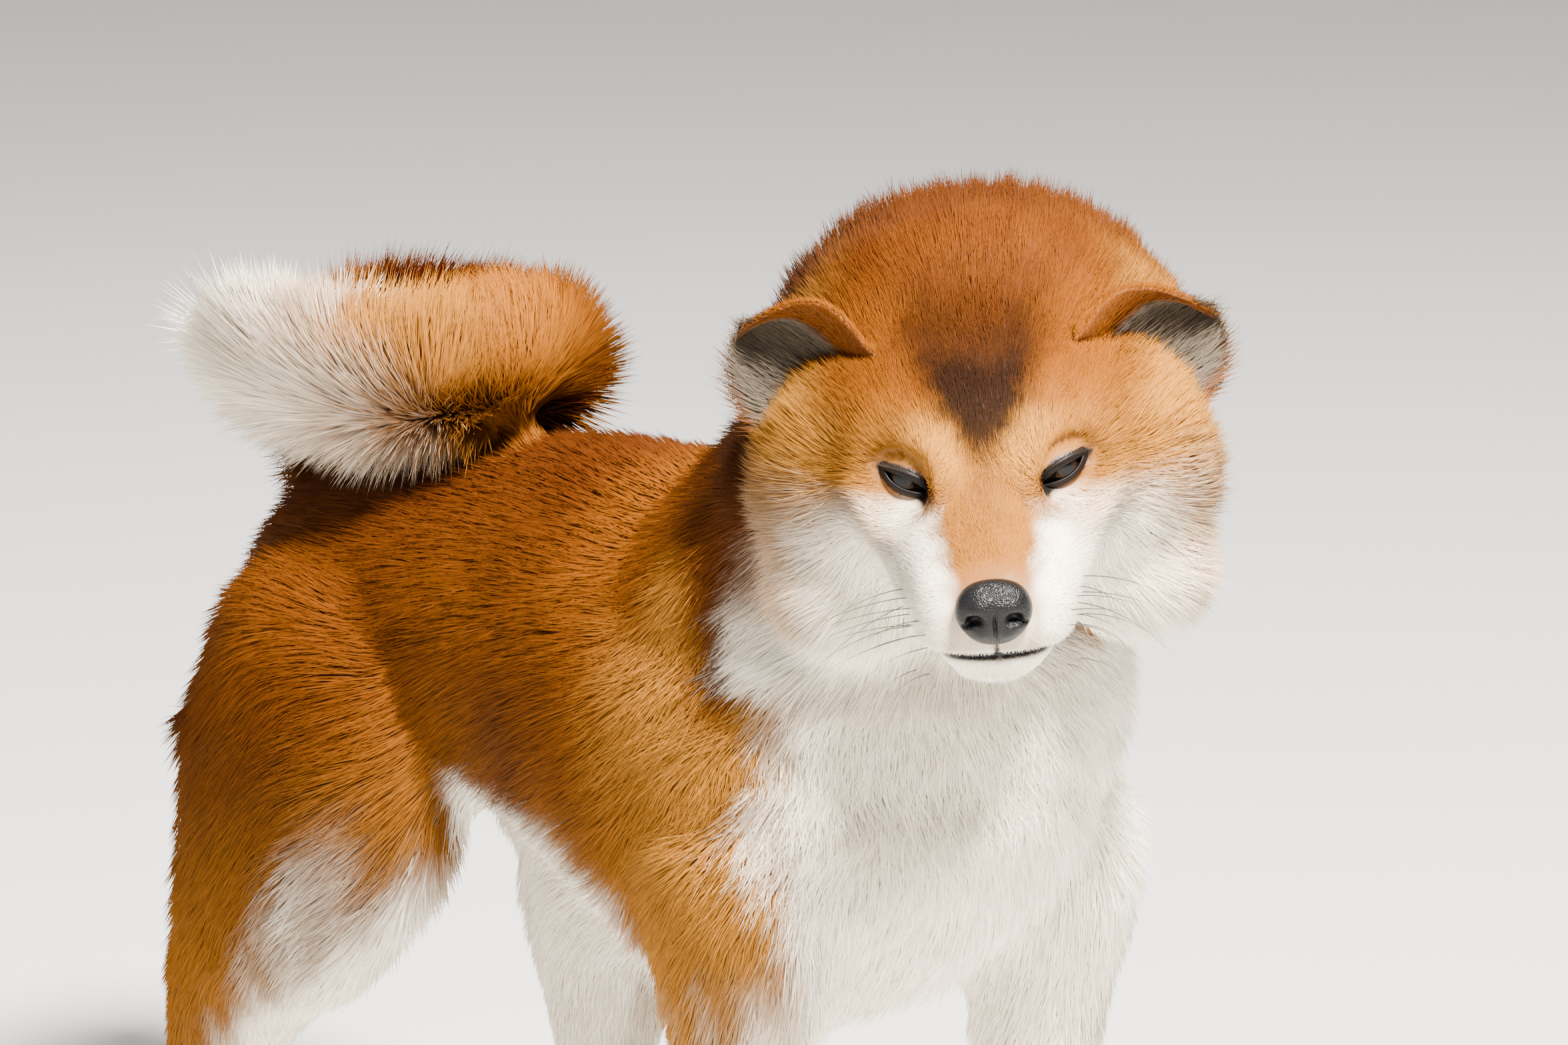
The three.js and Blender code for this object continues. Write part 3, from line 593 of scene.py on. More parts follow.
# Direction of the hair at each point, along the skin.
def lieOf(spots, normals, weights):
    head = toHead(spots)
    x, y, _ = spots.T
    hx, hy, hz = head.T
    n = len(spots)

    def same(*way):
        return np.repeat(np.array([way], float), n, 0)

    _, first = nearTail(spots)
    fromNose = unit(head - np.array([0, -84, -20]))
    for sign in (1, -1):
        eye = np.array(headPlace["eyeCentre"]) * np.array([sign, 1, 1])
        off = (head - eye) * np.array([1, 0.5, 1.25])
        reach = np.linalg.norm(off, axis=1, keepdims=True)
        fromNose = unit(fromNose + unit(off) * 2.2 * ramp(30, 9, reach))
    fromFace = unit(head - np.array([0, 10, -14]))
    fringe = np.stack([np.sign(hx) * 0.55, np.full(n, 0.35), np.full(n, -0.75)], -1)
    low = (ramp(-22, -52, hz) * ramp(10, 34, hy))[:, None]
    cheekWay = unit(fromNose * (1 - low) + fringe * low)
    earRoot = np.stack([np.sign(hx) * 56, np.full(n, 52), np.full(n, 14)], -1)
    outEar = unit(head - earRoot + np.stack([np.sign(hx) * 10, np.zeros(n), np.full(n, 4)], -1))
    aroundTail = unit(np.cross(tailWay[first], normals))
    sweep = np.interp(first, tailSweep[0], tailSweep[1])[:, None]
    onTail = unit(aroundTail + tailWay[first] * sweep)
    down = -0.25 - 0.4 * ramp(0.6, -0.2, normals[:, 2])
    overLips = np.stack([np.zeros(n), np.full(n, 0.3), -0.5 * ramp(-20, -40, hz)], -1)
    ruffDown = np.stack([x * 0.0035, 0.25 - 0.5 * ramp(-150, -210, y), np.full(n, -0.95)], -1)
    ways = {
        "torso": unit(np.stack([np.zeros(n), np.full(n, 0.9), down], -1)),
        "belly": same(0, 1, -0.2),
        "shoulder": same(0, 0.35, -1),
        "thigh": same(0, 0.45, -0.9),
        "breech": same(0, 0.25, -1),
        "leg": same(0, 0.12, -1),
        "paw": same(0, -0.75, -0.65),
        "ruff": unit(ruffDown),
        "nape": fromFace @ headTurning.T,
        "crown": unit(fromNose * 0.8 + fromFace * 0.6) @ headTurning.T,
        "cheek": cheekWay @ headTurning.T,
        "face": fromNose @ headTurning.T,
        "muzzle": unit(fromNose + overLips) @ headTurning.T,
        "tail": onTail,
        "ear": outEar @ headTurning.T,
        "earHollow": unit(outEar + np.array([0, -0.3, 0.4])) @ headTurning.T,
    }
    return sum(weights[:, k : k + 1] * ways[name] for k, name in enumerate(coatNames))


# Smooth wavering numbers between -1 and 1: sines of three slanted directions, added.
def wander(spots, size, seed):
    turn = np.random.default_rng(seed)
    ways = turn.normal(size=(3, 6)) / size
    return np.sin(spots @ ways + turn.uniform(0, 6.28, 6)).mean(1) * 1.6


# Shares of cream, tan, deep red and dark brown on the head, from bells and ramps in its own frame
# with wavering borders, and the place of the painted shade behind the cheeks, given as deep red.
def headMarks(spots, wave, fine):
    hx, hy, hz = toHead(spots).T
    side = np.abs(hx)
    headIn = ramp(-104, -92, hz) * ramp(122, 96, hy) * ramp(95, 75, hz)
    faceOnly = ramp(76, 56, hy + 4 * wave) * ramp(102, 92, side)
    # painted shade on the neck behind the cheeks: deep red in place of tan there
    behind = ramp(56, 78, hy + 4 * wave) * ramp(165, 120, hy)
    behind = behind * ramp(-135, -105, hz) * ramp(22, -4, hz)
    behind = behind * ramp(62, 84, side) * ramp(122, 107, side)
    # white below a line that falls outwards from the inner corner of the eye
    border = -3 - 0.26 * np.clip(side - 22, 0, 60) + 2.5 * wave
    soft = 0.28 * np.clip(side - 34, 0, 50)
    beyond = side - 0.10 * (hy + 30) + 1.5 * fine
    cream = headIn * faceOnly * ramp(border + 5 + soft, border - 11 - soft, hz)
    cream = cream * ramp(15, 25, beyond)
    throat = headIn * ramp(-36, -46, hz + 1.5 * fine) * ramp(84, 62, hy + 3 * wave)
    cream = np.maximum(cream, throat)
    cream = np.maximum(cream, headIn * ramp(-63, -73, hy + 2 * fine) * 0.75)
    outer = headIn * ramp(54, 78, side + 3 * wave + 0.25 * np.maximum(hy - 40, 0))
    outer = outer * ramp(-86, -56, hz)
    cream = cream * (1 - 0.78 * outer)
    spotUnder = headIn * hump(side, 38, 9) * hump(hz, -14, 7)
    cream = cream * (1 - 0.6 * spotUnder)
    brow = headIn * hump(side, 19, 9) * hump(hz, 13, 8) * ramp(40, 10, hy)
    low = ramp(34, 2, hz + 4 * wave)
    beside = ramp(42, 70, side) * ramp(34, -4, hz + 4 * wave)
    low = low * (1 - 0.35 * ramp(0, -25, hy))
    tan = headIn * np.clip(0.62 * low + brow + outer + 0.5 * spotUnder + 0.45 * beside, 0, 1)
    deep = (0.76 + 0.16 * ramp(45, 80, hz) + 0.15 * wave) * ramp(24, 50, hz + 3 * wave)
    deep = deep * ramp(215, 170, hy) * ramp(-20, 5, hy)
    peakWide = np.clip((hz - 4) * 0.80, 0, 25)
    peak = headIn * ramp(peakWide + 9, peakWide - 8, side + 3 * fine) * ramp(4, 14, hz + 2 * fine)
    dark = peak * ramp(60, 32, hz + 3 * wave) * 0.95
    dark = np.maximum(dark, 0.22 * headIn * hump(side, 0, 5) * ramp(-12, 4, hz) * ramp(20, 8, hz))
    # painted shade: dark brown round the roots of the ears, where they meet the head
    earRoot = ramp(46, 58, side) * ramp(16, 30, hz) * ramp(46, 60, hy) * ramp(96, 76, hy)
    dark = np.maximum(dark, 0.45 * headIn * earRoot)
    return cream, tan, deep, dark, behind


# Shares of cream, tan and deep red on the body: cream on the chest, belly, feet and the inner and
# front sides of the legs, tan on the flanks and on the shoulders, where it is partly the coat's own
# colour and partly painted light, and deep red in patches on the back.
def bodyMarks(spots, normals, wave):
    x, y, z = spots.T
    _, _, hz = toHead(spots).T
    onBody = 1 - ramp(-100, -88, hz) * ramp(-40, -90, y)
    chestWide = np.interp(z, [190, 260, 350, 395], [72, 88, 88, 30])
    facing = ramp(0.30, -0.25, normals[:, 1])
    chestFrom = np.interp(z, [200, 264, 320, 380], [-148, -162, -180, -198]) + 6 * wave
    chest = ramp(chestWide + 9, chestWide - 9, np.abs(x - 10 + 5 * wave)) * facing
    chest = chest * ramp(chestFrom + 14, chestFrom - 14, y)
    chest *= ramp(60, 110, z) * onBody
    under = ramp(-0.15, -0.6, normals[:, 2] + 0.12 * wave) * ramp(285, 255, z)
    inner = ramp(0.1, 0.7, -normals[:, 0] * np.sign(x)) * ramp(250, 215, z)
    foot = ramp(80, 50, z + 6 * wave)
    thighFront = ramp(60, 110, y) * ramp(-0.1, -0.7, normals[:, 1] + 0.2 * wave)
    thighFront = thighFront * ramp(270, 225, z)
    foreFront = ramp(-100, -120, y) * ramp(-0.2, -0.8, normals[:, 1] + 0.15 * wave)
    foreFront = foreFront * ramp(230, 190, z) * 0.8
    cream = np.maximum.reduce([chest, under, inner, foot, thighFront, foreFront]) * onBody
    broad = wander(spots, 45, 9)
    flank = ramp(0.75, -0.1, normals[:, 2]) * ramp(330, 215, z + 14 * broad)
    # tan on the forequarters: partly the coat's own colour, partly painted light on the shoulders
    front = ramp(-70, -135, y + 8 * wave) * ramp(440, 385, z) * 0.85
    tan = onBody * np.maximum(flank * 0.5, front)
    back = np.clip(0.52 + 0.42 * broad, 0, 1) * ramp(-60, -20, y)
    back = back + 0.3 * ramp(0.1, 0.9, normals[:, 2])
    deep = onBody * back * ramp(150, 230, z) * (1 - front)
    return cream, tan, deep


# Where the tail is, and its shares of cream and tan: both rise towards the tip, and cream begins
# sooner on the underside.
def tailMarks(spots, normals, wave):
    _, y, z = spots.T
    far, first = nearTail(spots)
    onTail = ramp(46, 32, far) * ramp(372, 392, z) * ramp(20, 50, y)
    place = first / (tailSteps - 1) + 0.04 * wave
    tip = ramp(0.76, 0.95, place)
    under = ramp(0.3, -0.6, normals[:, 2]) * ramp(0.66, 0.84, place) * 0.75
    return onTail, onTail * np.maximum(tip, under), onTail * ramp(0.50, 0.78, place) * 0.75


# Shares of cream, tan, deep red, dark brown and grey at each point. The ears come last: they have
# a grey hollow with painted shade deep in it, and a red back with a little painted shade.
def markings(spots, normals, ears):
    wave = wander(spots, 11, 3)
    cream, tan, deep, dark, behind = headMarks(spots, wave, wander(spots, 4, 4))
    bodyCream, bodyTan, bodyDeep = bodyMarks(spots, normals, wave)
    onTail, tailCream, tailTan = tailMarks(spots, normals, wave)
    cream = np.maximum.reduce([cream, bodyCream * (1 - onTail), tailCream])
    # behind the cheeks tan is taken out and deep red put in, as painted shade
    tan = np.maximum(np.maximum(tan, bodyTan) * (1 - 0.9 * behind), tailTan)
    deep = np.maximum.reduce([deep * (1 - onTail), bodyDeep * (1 - onTail), 0.8 * behind])
    hollow = ears["any"] * ears["inside"]
    rim = np.maximum(ramp(0.42, 0.6, ears["across"]), ramp(0.8, 0.95, -ears["across"]))
    rim = ears["any"] * rim
    grey = hollow * (1 - 0.8 * rim)
    keep = 1 - ears["any"]
    cream, tan, dark = cream * keep, tan * keep, dark * keep
    deep = np.maximum(deep * keep, ears["any"] * (1 - rim) * (1 - ears["inside"]) * 0.85)
    # painted shade: dark brown deep in the ear's hollow near its root, and a little on the ear's
    # back
    earPitShade = hollow * ramp(0.85, 0.45, ears["rise"]) * hump(ears["across"], 0.0, 0.45)
    earBackShade = ears["any"] * (1 - ears["inside"]) * (1 - rim)
    dark = np.maximum(dark, np.maximum(earPitShade * 0.85, earBackShade * 0.2))
    return np.clip(np.stack([cream, tan, deep, dark, grey], -1), 0, 1)


def eyeTurning(sign):
    return turning("z", sign * headPlace["eyeTurn"]) @ turning("y", -sign * headPlace["eyeSlant"])


# Points of the head's frame in one eye's frame: x outwards along the slit, y back, z up.
def toEye(spots, sign):
    centre = np.array(headPlace["eyeCentre"]) * np.array([sign, 1, 1])
    local = (toHead(spots) - centre) @ eyeTurning(sign)
    return local * np.array([sign, 1, 1])


def fromEye(local, sign):
    centre = np.array(headPlace["eyeCentre"]) * np.array([sign, 1, 1])
    return fromHead((local * np.array([sign, 1, 1])) @ eyeTurning(sign).T + centre)


eyeSlit = {"long": 24.0, "high": 6.8, "inwards": 1.3}  # its middle lies inwards of the eyeball's


# Half height of the eye's opening at x: a parabola that meets the corners in points.
def slitEdge(x, grow=0.0):
    half = eyeSlit["long"] / 2 + grow
    return (eyeSlit["high"] / 2 + grow) * np.clip(1 - ((x + eyeSlit["inwards"]) / half) ** 2, 0, 1)


# Front of the lids over the eyeball, flatter along the slit than across it.
def lidSurface(x, z, grow):
    radius = headPlace["eyeRadius"] + grow
    return -np.sqrt(np.maximum(radius**2 - 0.62 * x**2 - z**2, 9))


mouthLine = np.array([  # place from the nose backwards, and the height of the mouth there
    (-76, -45.0), (-66, -46.0), (-58, -47.2), (-50, -48.2),
    (-40, -49.5), (-28, -51.5), (-15, -55), (-4, -59.5),
])


noMouth = 99.0  # distance to the mouth, where there is none


# Height above the closed mouth, which runs on a bent sheet through the muzzle.
def aboveMouth(head):
    height = head[:, 2] - np.interp(head[:, 1], mouthLine[:, 0], mouthLine[:, 1])
    return height + 30 * ramp(-10, -2, head[:, 1]) + 30 * ramp(36, 44, np.abs(head[:, 0]))


# The front of the face, which is cut finer first.
def faceFront(spots):
    x, y, z = toHead(spots).T
    return (y < 24) & (np.abs(x) < 56) & (z > -70) & (z < 34)


# The skin round the eyes and along the mouth, which is cut finer once more.
def eyesAndMouth(spots):
    head = toHead(spots)
    nearEye = np.minimum(*[np.linalg.norm(toEye(spots, sign), axis=1) for sign in (1, -1)]) < 19
    nearMouth = (np.abs(aboveMouth(head)) < 5) & (np.abs(head[:, 0]) < 40) & (head[:, 1] < 0)
    return nearEye | nearMouth


# Evens the points that the mark names, by their share of it.
def evenedWhere(spots, pairs, mark, times):
    for _ in range(times):
        spots = spots + (evened(spots, pairs, 1) - spots) * mark[:, None]
    return spots


# Moves the skin in from the coat's outline by the depth of each region, and evens out the fold
# between the crown and the fur behind it.
def underCoat(mesh, spots, pairs):
    plain = {"any": np.zeros(len(spots)), "inside": np.zeros(len(spots))}
    normals = normalsOf(mesh)
    weights = regionsOf(spots, normals, plain)
    depth = weights @ np.array([coats[name]["depth"] for name in coatNames])
    depth = evened(depth, pairs, 12)
    normals = unit(evened(normals, pairs, 3))
    spots = spots - normals * depth[:, None]
    spots = evened(spots, pairs, 3)
    _, hy, hz = toHead(spots).T
    fold = ramp(20, 36, hz) * ramp(30, 55, hy) * ramp(150, 110, hy)
    fold = np.maximum(fold, ramp(60, 80, hy) * ramp(150, 110, hy) * ramp(-80, -60, hz))
    spots = evenedWhere(spots, pairs, fold, 30)
    spots[:, 2] = np.maximum(spots[:, 2], skinShape["overFloor"] + floorHeight)
    return spots


# Lids bulge over the eyes, with a fold above, and the opening is drawn back behind them.
def withLids(spots, pairs):
    lidFold = skinShape["lidFold"]
    for sign in (1, -1):
        local = toEye(spots, sign)
        off = np.hypot(local[:, 0], local[:, 2] * 1.25)
        lid = lidSurface(local[:, 0], local[:, 2], skinShape["lidBulge"])
        close = ramp(17, 10, off) * (local[:, 1] < 6)
        local[:, 1] = local[:, 1] + (lid - local[:, 1]) * close
        foldLine = slitEdge(local[:, 0], lidFold["above"])
        fold = hump(local[:, 2] - foldLine, 0, lidFold["wide"])
        fold = fold * ramp(14, 9, off) * (local[:, 2] > 0)
        local[:, 1] = local[:, 1] + lidFold["deep"] * fold
        inside = (np.abs(local[:, 2]) < slitEdge(local[:, 0], 0.3)) & (local[:, 1] < 4)
        local[:, 1] = np.where(inside, -3.0, local[:, 1])
        around = ramp(8, 11, off) * ramp(25, 17, off)
        spots = evenedWhere(fromEye(local, sign), pairs, around, 14)
    return spots


# The line of the mouth is pressed in by a bell curve, and the lower lip stands back a little.
def withMouth(mesh, spots):
    head = toHead(spots)
    above = aboveMouth(head)
    onMuzzle = (head[:, 1] < 0) & (np.abs(head[:, 0]) < 42)
    press = skinShape["groove"]["deep"] * hump(above, 0, skinShape["groove"]["wide"])
    press = press + skinShape["lipBack"] * ramp(0.5, -1.5, above) * ramp(-36, -60, head[:, 1])
    spots = spots - normalsOf(mesh) * (press * onMuzzle)[:, None]
    return spots, np.where(onMuzzle, np.abs(above), noMouth)


def makeSkin():
    mesh = remeshed(bodyForms())
    pairs = edgesOf(mesh)
    placePoints(mesh, evened(readPoints(mesh), pairs, 4))
    for area in (faceFront, eyesAndMouth):
        finer(mesh, area(readPoints(mesh)))
        pairs = edgesOf(mesh)
        spots = evened(readPoints(mesh), pairs, 3)
        placePoints(mesh, spots)
    spots = withLids(underCoat(mesh, spots, pairs), pairs)
    placePoints(mesh, spots)
    spots, mouthFar = withMouth(mesh, spots)
    placePoints(mesh, spots)
    return mesh, spots, mouthFar


def skinWithEars():
    mesh, spots, mouthFar = makeSkin()
    count = len(spots)
    work = bmesh.new()
    work.from_mesh(mesh)
    bmesh.ops.triangulate(work, faces=work.faces[:], quad_method="SHORT_EDGE")
    work.to_mesh(mesh)
    work.free()
    corners = np.zeros(len(mesh.loops), np.int32)
    mesh.loops.foreach_get("vertex_index", corners)
    shapes = [(spots, np.zeros((0, 4), int), corners.reshape(-1, 3))]
    ears = {key: [np.zeros(count)] for key in ("any", "inside", "rise", "across")}
    for sign in (1, -1):
        points, quads, triangles, marks = earForm(sign)
        shapes.append((points, quads, triangles))
        marks["any"] = np.ones(len(points))
        for key, values in ears.items():
            values.append(marks[key])
    points, quads, triangles = joined(shapes)
    bpy.data.meshes.remove(mesh)
    skin = makePiece("skin", points, [quads, triangles])
    ears = {key: np.concatenate(values) for key, values in ears.items()}
    mouth = np.concatenate([mouthFar, np.full(len(points) - count, noMouth)])
    return skin, ears, mouth


skin, ears, mouthFar = skinWithEars()
skinPoints = readPoints(skin.data)
skinNormals = normalsOf(skin.data)
skinPairs = edgesOf(skin.data)
print("skin:", len(skinPoints), "points")


# The unwrap of the skin's own shape. The tufts' small patches are set on it later.
def unwrap(piece):
    bpy.ops.object.select_all(action="DESELECT")
    bpy.context.view_layer.objects.active = piece
    piece.select_set(True)
    piece.data.uv_layers.new(name="OFBake")
    bpy.ops.object.mode_set(mode="EDIT")
    bpy.ops.mesh.select_all(action="SELECT")
    bpy.ops.uv.smart_project(angle_limit=math.radians(66), island_margin=0.002)
    bpy.ops.object.mode_set(mode="OBJECT")


unwrap(skin)
print("skin unwrapped")

skinWeights = regionsOf(skinPoints, skinNormals, ears)
skinWeights = evened(skinWeights, skinPairs, 6)
skinLie = lieOf(skinPoints, skinNormals, skinWeights)
skinLie = evened(skinLie, skinPairs, 10)
skinLie = alongSkin(skinLie, skinNormals)
skinMarks = markings(skinPoints, skinNormals, ears)


# Bare skin: the lips, the groove below the nose, the lids' edges and the corners of the eyes.
def bareSkin(spots, mouthFar):
    x, y, z = toHead(spots).T
    bare = ramp(2.6, 1.7, mouthFar) * (0.25 + 0.75 * ramp(25, 17, np.abs(x)))
    groove = ramp(1.5, 0.7, np.abs(x)) * ramp(-36, -38, z) * ramp(-49, -46, z) * (y < -55)
    bare = np.maximum(bare, groove)
    for sign in (1, -1):
        local = toEye(spots, sign)
        edge = np.abs(local[:, 2]) - slitEdge(local[:, 0], 2.7)
        lid = ramp(0.5, -0.3, edge) * (np.abs(local[:, 0]) < 14) * (local[:, 1] < 3)
        bare = np.maximum(bare, lid)
    return bare


skinBare = bareSkin(skinPoints, mouthFar)


# Shader groups and materials.
coatColours = {  # linear light
    "orange": (0.122, 0.033, 0.0006),
    "tan": (0.285, 0.115, 0.013),
    "deep": (0.052, 0.0115, 0.0003),
    "dark": (0.0042, 0.0013, 0.0003),
    "cream": (0.93, 0.85, 0.70),
    "grey": (0.085, 0.066, 0.046),
}
coatShade = {  # brightness of one tuft: its tone, the patch that it stands in, and root to tip
    "tone": 0.50,
    "toneStart": 0.59,
    "patch": 0.36,
    "patchScale": 26,
    "tip": 0.26,
    "root": 0.84,
}
coatLook = {"roughness": 0.78, "shine": 0.06}
skinFinish = {
    "roughness": 0.72,
    "bareGloss": 0.32,  # how much smoother the bare skin is
    "shine": 0.25,
    "shade": (0.86, 0.82, 0.78),  # painted shade: the skin under the coat is darker than the hair
    "bare": (0.004, 0.0032, 0.0032),
    "pits": {"scale": 700, "pebbles": 0.5, "strength": 0.35, "depth": 0.0004},
    "tone": 0.45,
    "along": 0.3,
}


def newGroup(name, inputs, outputs):
    tree = bpy.data.node_groups.new(name, "ShaderNodeTree")
    for label, kind, start in inputs:
        socket = tree.interface.new_socket(label, in_out="INPUT", socket_type=kind)
        if start is not None:
            socket.default_value = start
    for label, kind in outputs:
        tree.interface.new_socket(label, in_out="OUTPUT", socket_type=kind)
    return tree, tree.nodes.new("NodeGroupInput"), tree.nodes.new("NodeGroupOutput")


# A colour mix; each side is a socket or a colour, the factor a socket or a number.
def mixed(tree, factor, first, second, blend="MIX"):
    node = tree.nodes.new("ShaderNodeMix")
    node.data_type = "RGBA"
    node.blend_type = blend
    for place, value in ((0, factor), (6, first), (7, second)):
        if isinstance(value, bpy.types.NodeSocket):
            tree.links.new(value, node.inputs[place])
        elif place == 0:
            node.inputs[0].default_value = value
        else:
            node.inputs[place].default_value = (*value, 1)
    return node.outputs[2]


# One step of arithmetic between sockets and numbers.
def sums(tree, kind, *values):
    node = tree.nodes.new("ShaderNodeMath")
    node.operation = kind
    for place, value in enumerate(values):
        if isinstance(value, bpy.types.NodeSocket):
            tree.links.new(value, node.inputs[place])
        else:
            node.inputs[place].default_value = value
    return node.outputs[0]


def noiseAt(tree, scale, detail, vector):
    node = tree.nodes.new("ShaderNodeTexNoise")
    node.inputs["Scale"].default_value = scale
    node.inputs["Detail"].default_value = detail
    tree.links.new(vector, node.inputs["Vector"])
    return node.outputs["Fac"]


# Mixes the coat's colours by their shares, lighter at the tips and uneven from tuft to tuft.
def makeCoatColour():
    shares = ("Cream", "Tan", "Deep", "Dark", "Grey", "Tone", "Along")
    inputs = [(share, "NodeSocketFloat", 0.0) for share in shares]
    inputs.append(("Place", "NodeSocketVector", None))
    tree, start, end = newGroup("coatColour", inputs, [("Colour", "NodeSocketColor")])
    read = {socket.name: socket for socket in start.outputs}
    patch = noiseAt(tree, coatShade["patchScale"], 3, read["Place"])
    colour = mixed(tree, read["Tan"], coatColours["orange"], coatColours["tan"])
    colour = mixed(tree, read["Deep"], colour, coatColours["deep"])
    colour = mixed(tree, read["Cream"], colour, coatColours["cream"])
    colour = mixed(tree, read["Dark"], colour, coatColours["dark"])
    colour = mixed(tree, read["Grey"], colour, coatColours["grey"])
    spread = sums(tree, "MULTIPLY_ADD", read["Tone"], coatShade["tone"], coatShade["toneStart"])
    spread = sums(tree, "MULTIPLY_ADD", patch, coatShade["patch"], spread)
    lift = sums(tree, "MULTIPLY_ADD", read["Along"], coatShade["tip"], coatShade["root"])
    total = sums(tree, "MULTIPLY", spread, lift)
    shade = tree.nodes.new("ShaderNodeCombineColor")
    for n in range(3):
        tree.links.new(total, shade.inputs[n])
    colour = mixed(tree, 1.0, colour, shade.outputs[0], "MULTIPLY")
    tree.links.new(colour, end.inputs["Colour"])
    return tree


def attribute(tree, name):
    node = tree.nodes.new("ShaderNodeAttribute")
    node.attribute_name = name
    return node


# Fine pits and pebbles for skin and leather: noise over a finer cell pattern.
def makeGrain():
    inputs = [
        ("Place", "NodeSocketVector", None),
        ("Scale", "NodeSocketFloat", 900.0),
        ("Pebbles", "NodeSocketFloat", 0.5),
    ]
    tree, start, end = newGroup("grain", inputs, [("Height", "NodeSocketFloat")])
    cells = tree.nodes.new("ShaderNodeTexVoronoi")
    cells.feature = "DISTANCE_TO_EDGE"
    noise = tree.nodes.new("ShaderNodeTexNoise")
    noise.inputs["Detail"].default_value = 3
    for node in (cells, noise):
        tree.links.new(start.outputs["Place"], node.inputs["Vector"])
        tree.links.new(start.outputs["Scale"], node.inputs["Scale"])
    edge = sums(tree, "MINIMUM", sums(tree, "MULTIPLY", cells.outputs["Distance"], 4.0), 1.0)
    height = sums(tree, "MULTIPLY", edge, start.outputs["Pebbles"])
    height = sums(tree, "ADD", height, sums(tree, "MULTIPLY", noise.outputs["Fac"], 0.6))
    tree.links.new(height, end.inputs["Height"])
    return tree


coatColour = makeCoatColour()
grain = makeGrain()


def newMaterial(name, roughness, shine=0.5):
    material = bpy.data.materials.new(name)
    material.use_nodes = True
    tree = material.node_tree
    shader = tree.nodes["Principled BSDF"]
    shader.inputs["Roughness"].default_value = roughness
    shader.inputs["Specular IOR Level"].default_value = shine
    place = tree.nodes.new("ShaderNodeTexCoord").outputs["Object"]
    return material, tree, shader, place


# A material whose colour wavers between two by a noise of the given scale.
def mottledMaterial(name, first, second, scale, detail, roughness, shine=0.5):
    material, tree, shader, place = newMaterial(name, roughness, shine)
    tone = noiseAt(tree, scale, detail, place)
    tree.links.new(mixed(tree, tone, first, second), shader.inputs["Base Color"])
    return material, tree, shader, place


# Sets the grain's pits and pebbles on a material's normal.
def addGrain(tree, shader, place, pits):
    group = tree.nodes.new("ShaderNodeGroup")
    group.node_tree = grain
    group.inputs["Scale"].default_value = pits["scale"]
    group.inputs["Pebbles"].default_value = pits["pebbles"]
    tree.links.new(place, group.inputs["Place"])
    bump = tree.nodes.new("ShaderNodeBump")
    bump.inputs["Strength"].default_value = pits["strength"]
    bump.inputs["Distance"].default_value = pits["depth"]
    tree.links.new(group.outputs["Height"], bump.inputs["Height"])
    tree.links.new(bump.outputs["Normal"], shader.inputs["Normal"])


def coatNodes(tree, place):
    group = tree.nodes.new("ShaderNodeGroup")
    group.node_tree = coatColour
    marks = {"creamTanDeep": ("Cream", "Tan", "Deep"), "darkGreyTone": ("Dark", "Grey", "Tone")}
    for name, keys in marks.items():
        parts = tree.nodes.new("ShaderNodeSeparateXYZ")
        tree.links.new(attribute(tree, name).outputs["Vector"], parts.inputs[0])
        for n, key in enumerate(keys):
            tree.links.new(parts.outputs[n], group.inputs[key])
    tree.links.new(attribute(tree, "along").outputs["Fac"], group.inputs["Along"])
    tree.links.new(place, group.inputs["Place"])
    return group


def coatMaterial():
    material, tree, shader, place = newMaterial("coat", coatLook["roughness"], coatLook["shine"])
    group = coatNodes(tree, place)
    tree.links.new(group.outputs["Colour"], shader.inputs["Base Color"])
    return material


def skinMaterial():
    look = skinFinish
    material, tree, shader, place = newMaterial("skin", look["roughness"], look["shine"])
    group = coatNodes(tree, place)
    bareMark = attribute(tree, "bare").outputs["Fac"]
    # painted shade: the skin under the coat is darkened
    shaded = mixed(tree, 1.0, group.outputs["Colour"], look["shade"], "MULTIPLY")
    colour = mixed(tree, bareMark, shaded, look["bare"])
    tree.links.new(colour, shader.inputs["Base Color"])
    roughness = sums(tree, "MULTIPLY_ADD", bareMark, -look["bareGloss"], look["roughness"])
    tree.links.new(roughness, shader.inputs["Roughness"])
    addGrain(tree, shader, place, look["pits"])
    return material


# Writes the shares of the colours, each tuft's tone and the place along the hair on the points.
def writeCoatMarks(mesh, marks, tone, along, **others):
    darkGreyTone = np.column_stack([marks[:, 3:], tone])
    writeMarks(mesh, creamTanDeep=marks[:, :3], darkGreyTone=darkGreyTone, along=along, **others)


coatFinish = coatMaterial()
skin.data.materials.append(skinMaterial())
writeCoatMarks(skin.data, skinMarks, np.full(len(skinPoints), skinFinish["tone"]),
               np.full(len(skinPoints), skinFinish["along"]), bare=skinBare)
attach(skin, "root")
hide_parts(*flesh)
print("skin coloured")


# The coat.

# Corner numbers and point numbers of every triangle of the skin.
def skinTriangles(mesh):
    mesh.calc_loop_triangles()
    loops = np.zeros(len(mesh.loop_triangles) * 3, np.int32)
    mesh.loop_triangles.foreach_get("loops", loops)
    points = np.zeros(len(mesh.loop_triangles) * 3, np.int32)
    mesh.loop_triangles.foreach_get("vertices", points)
    return loops.reshape(-1, 3), points.reshape(-1, 3)


triLoops, triPoints = skinTriangles(skin.data)
skinUv = np.zeros(len(skin.data.loops) * 2, np.float32)
skin.data.uv_layers["OFBake"].data.foreach_get("uv", skinUv)
skinUv = skinUv.reshape(-1, 2)
cornerA, cornerB, cornerC = (skinPoints[triPoints[:, n]] for n in range(3))
triArea = 0.5 * np.linalg.norm(np.cross(cornerB - cornerA, cornerC - cornerA), axis=1)
triWeights = skinWeights[triPoints].mean(1)
triWeights /= triWeights.sum(1, keepdims=True)
triEach = 1 / (triWeights @ np.array([1 / coats[name]["each"] for name in coatNames]))
triOpen = skinBare[triPoints].max(1) < 0.5


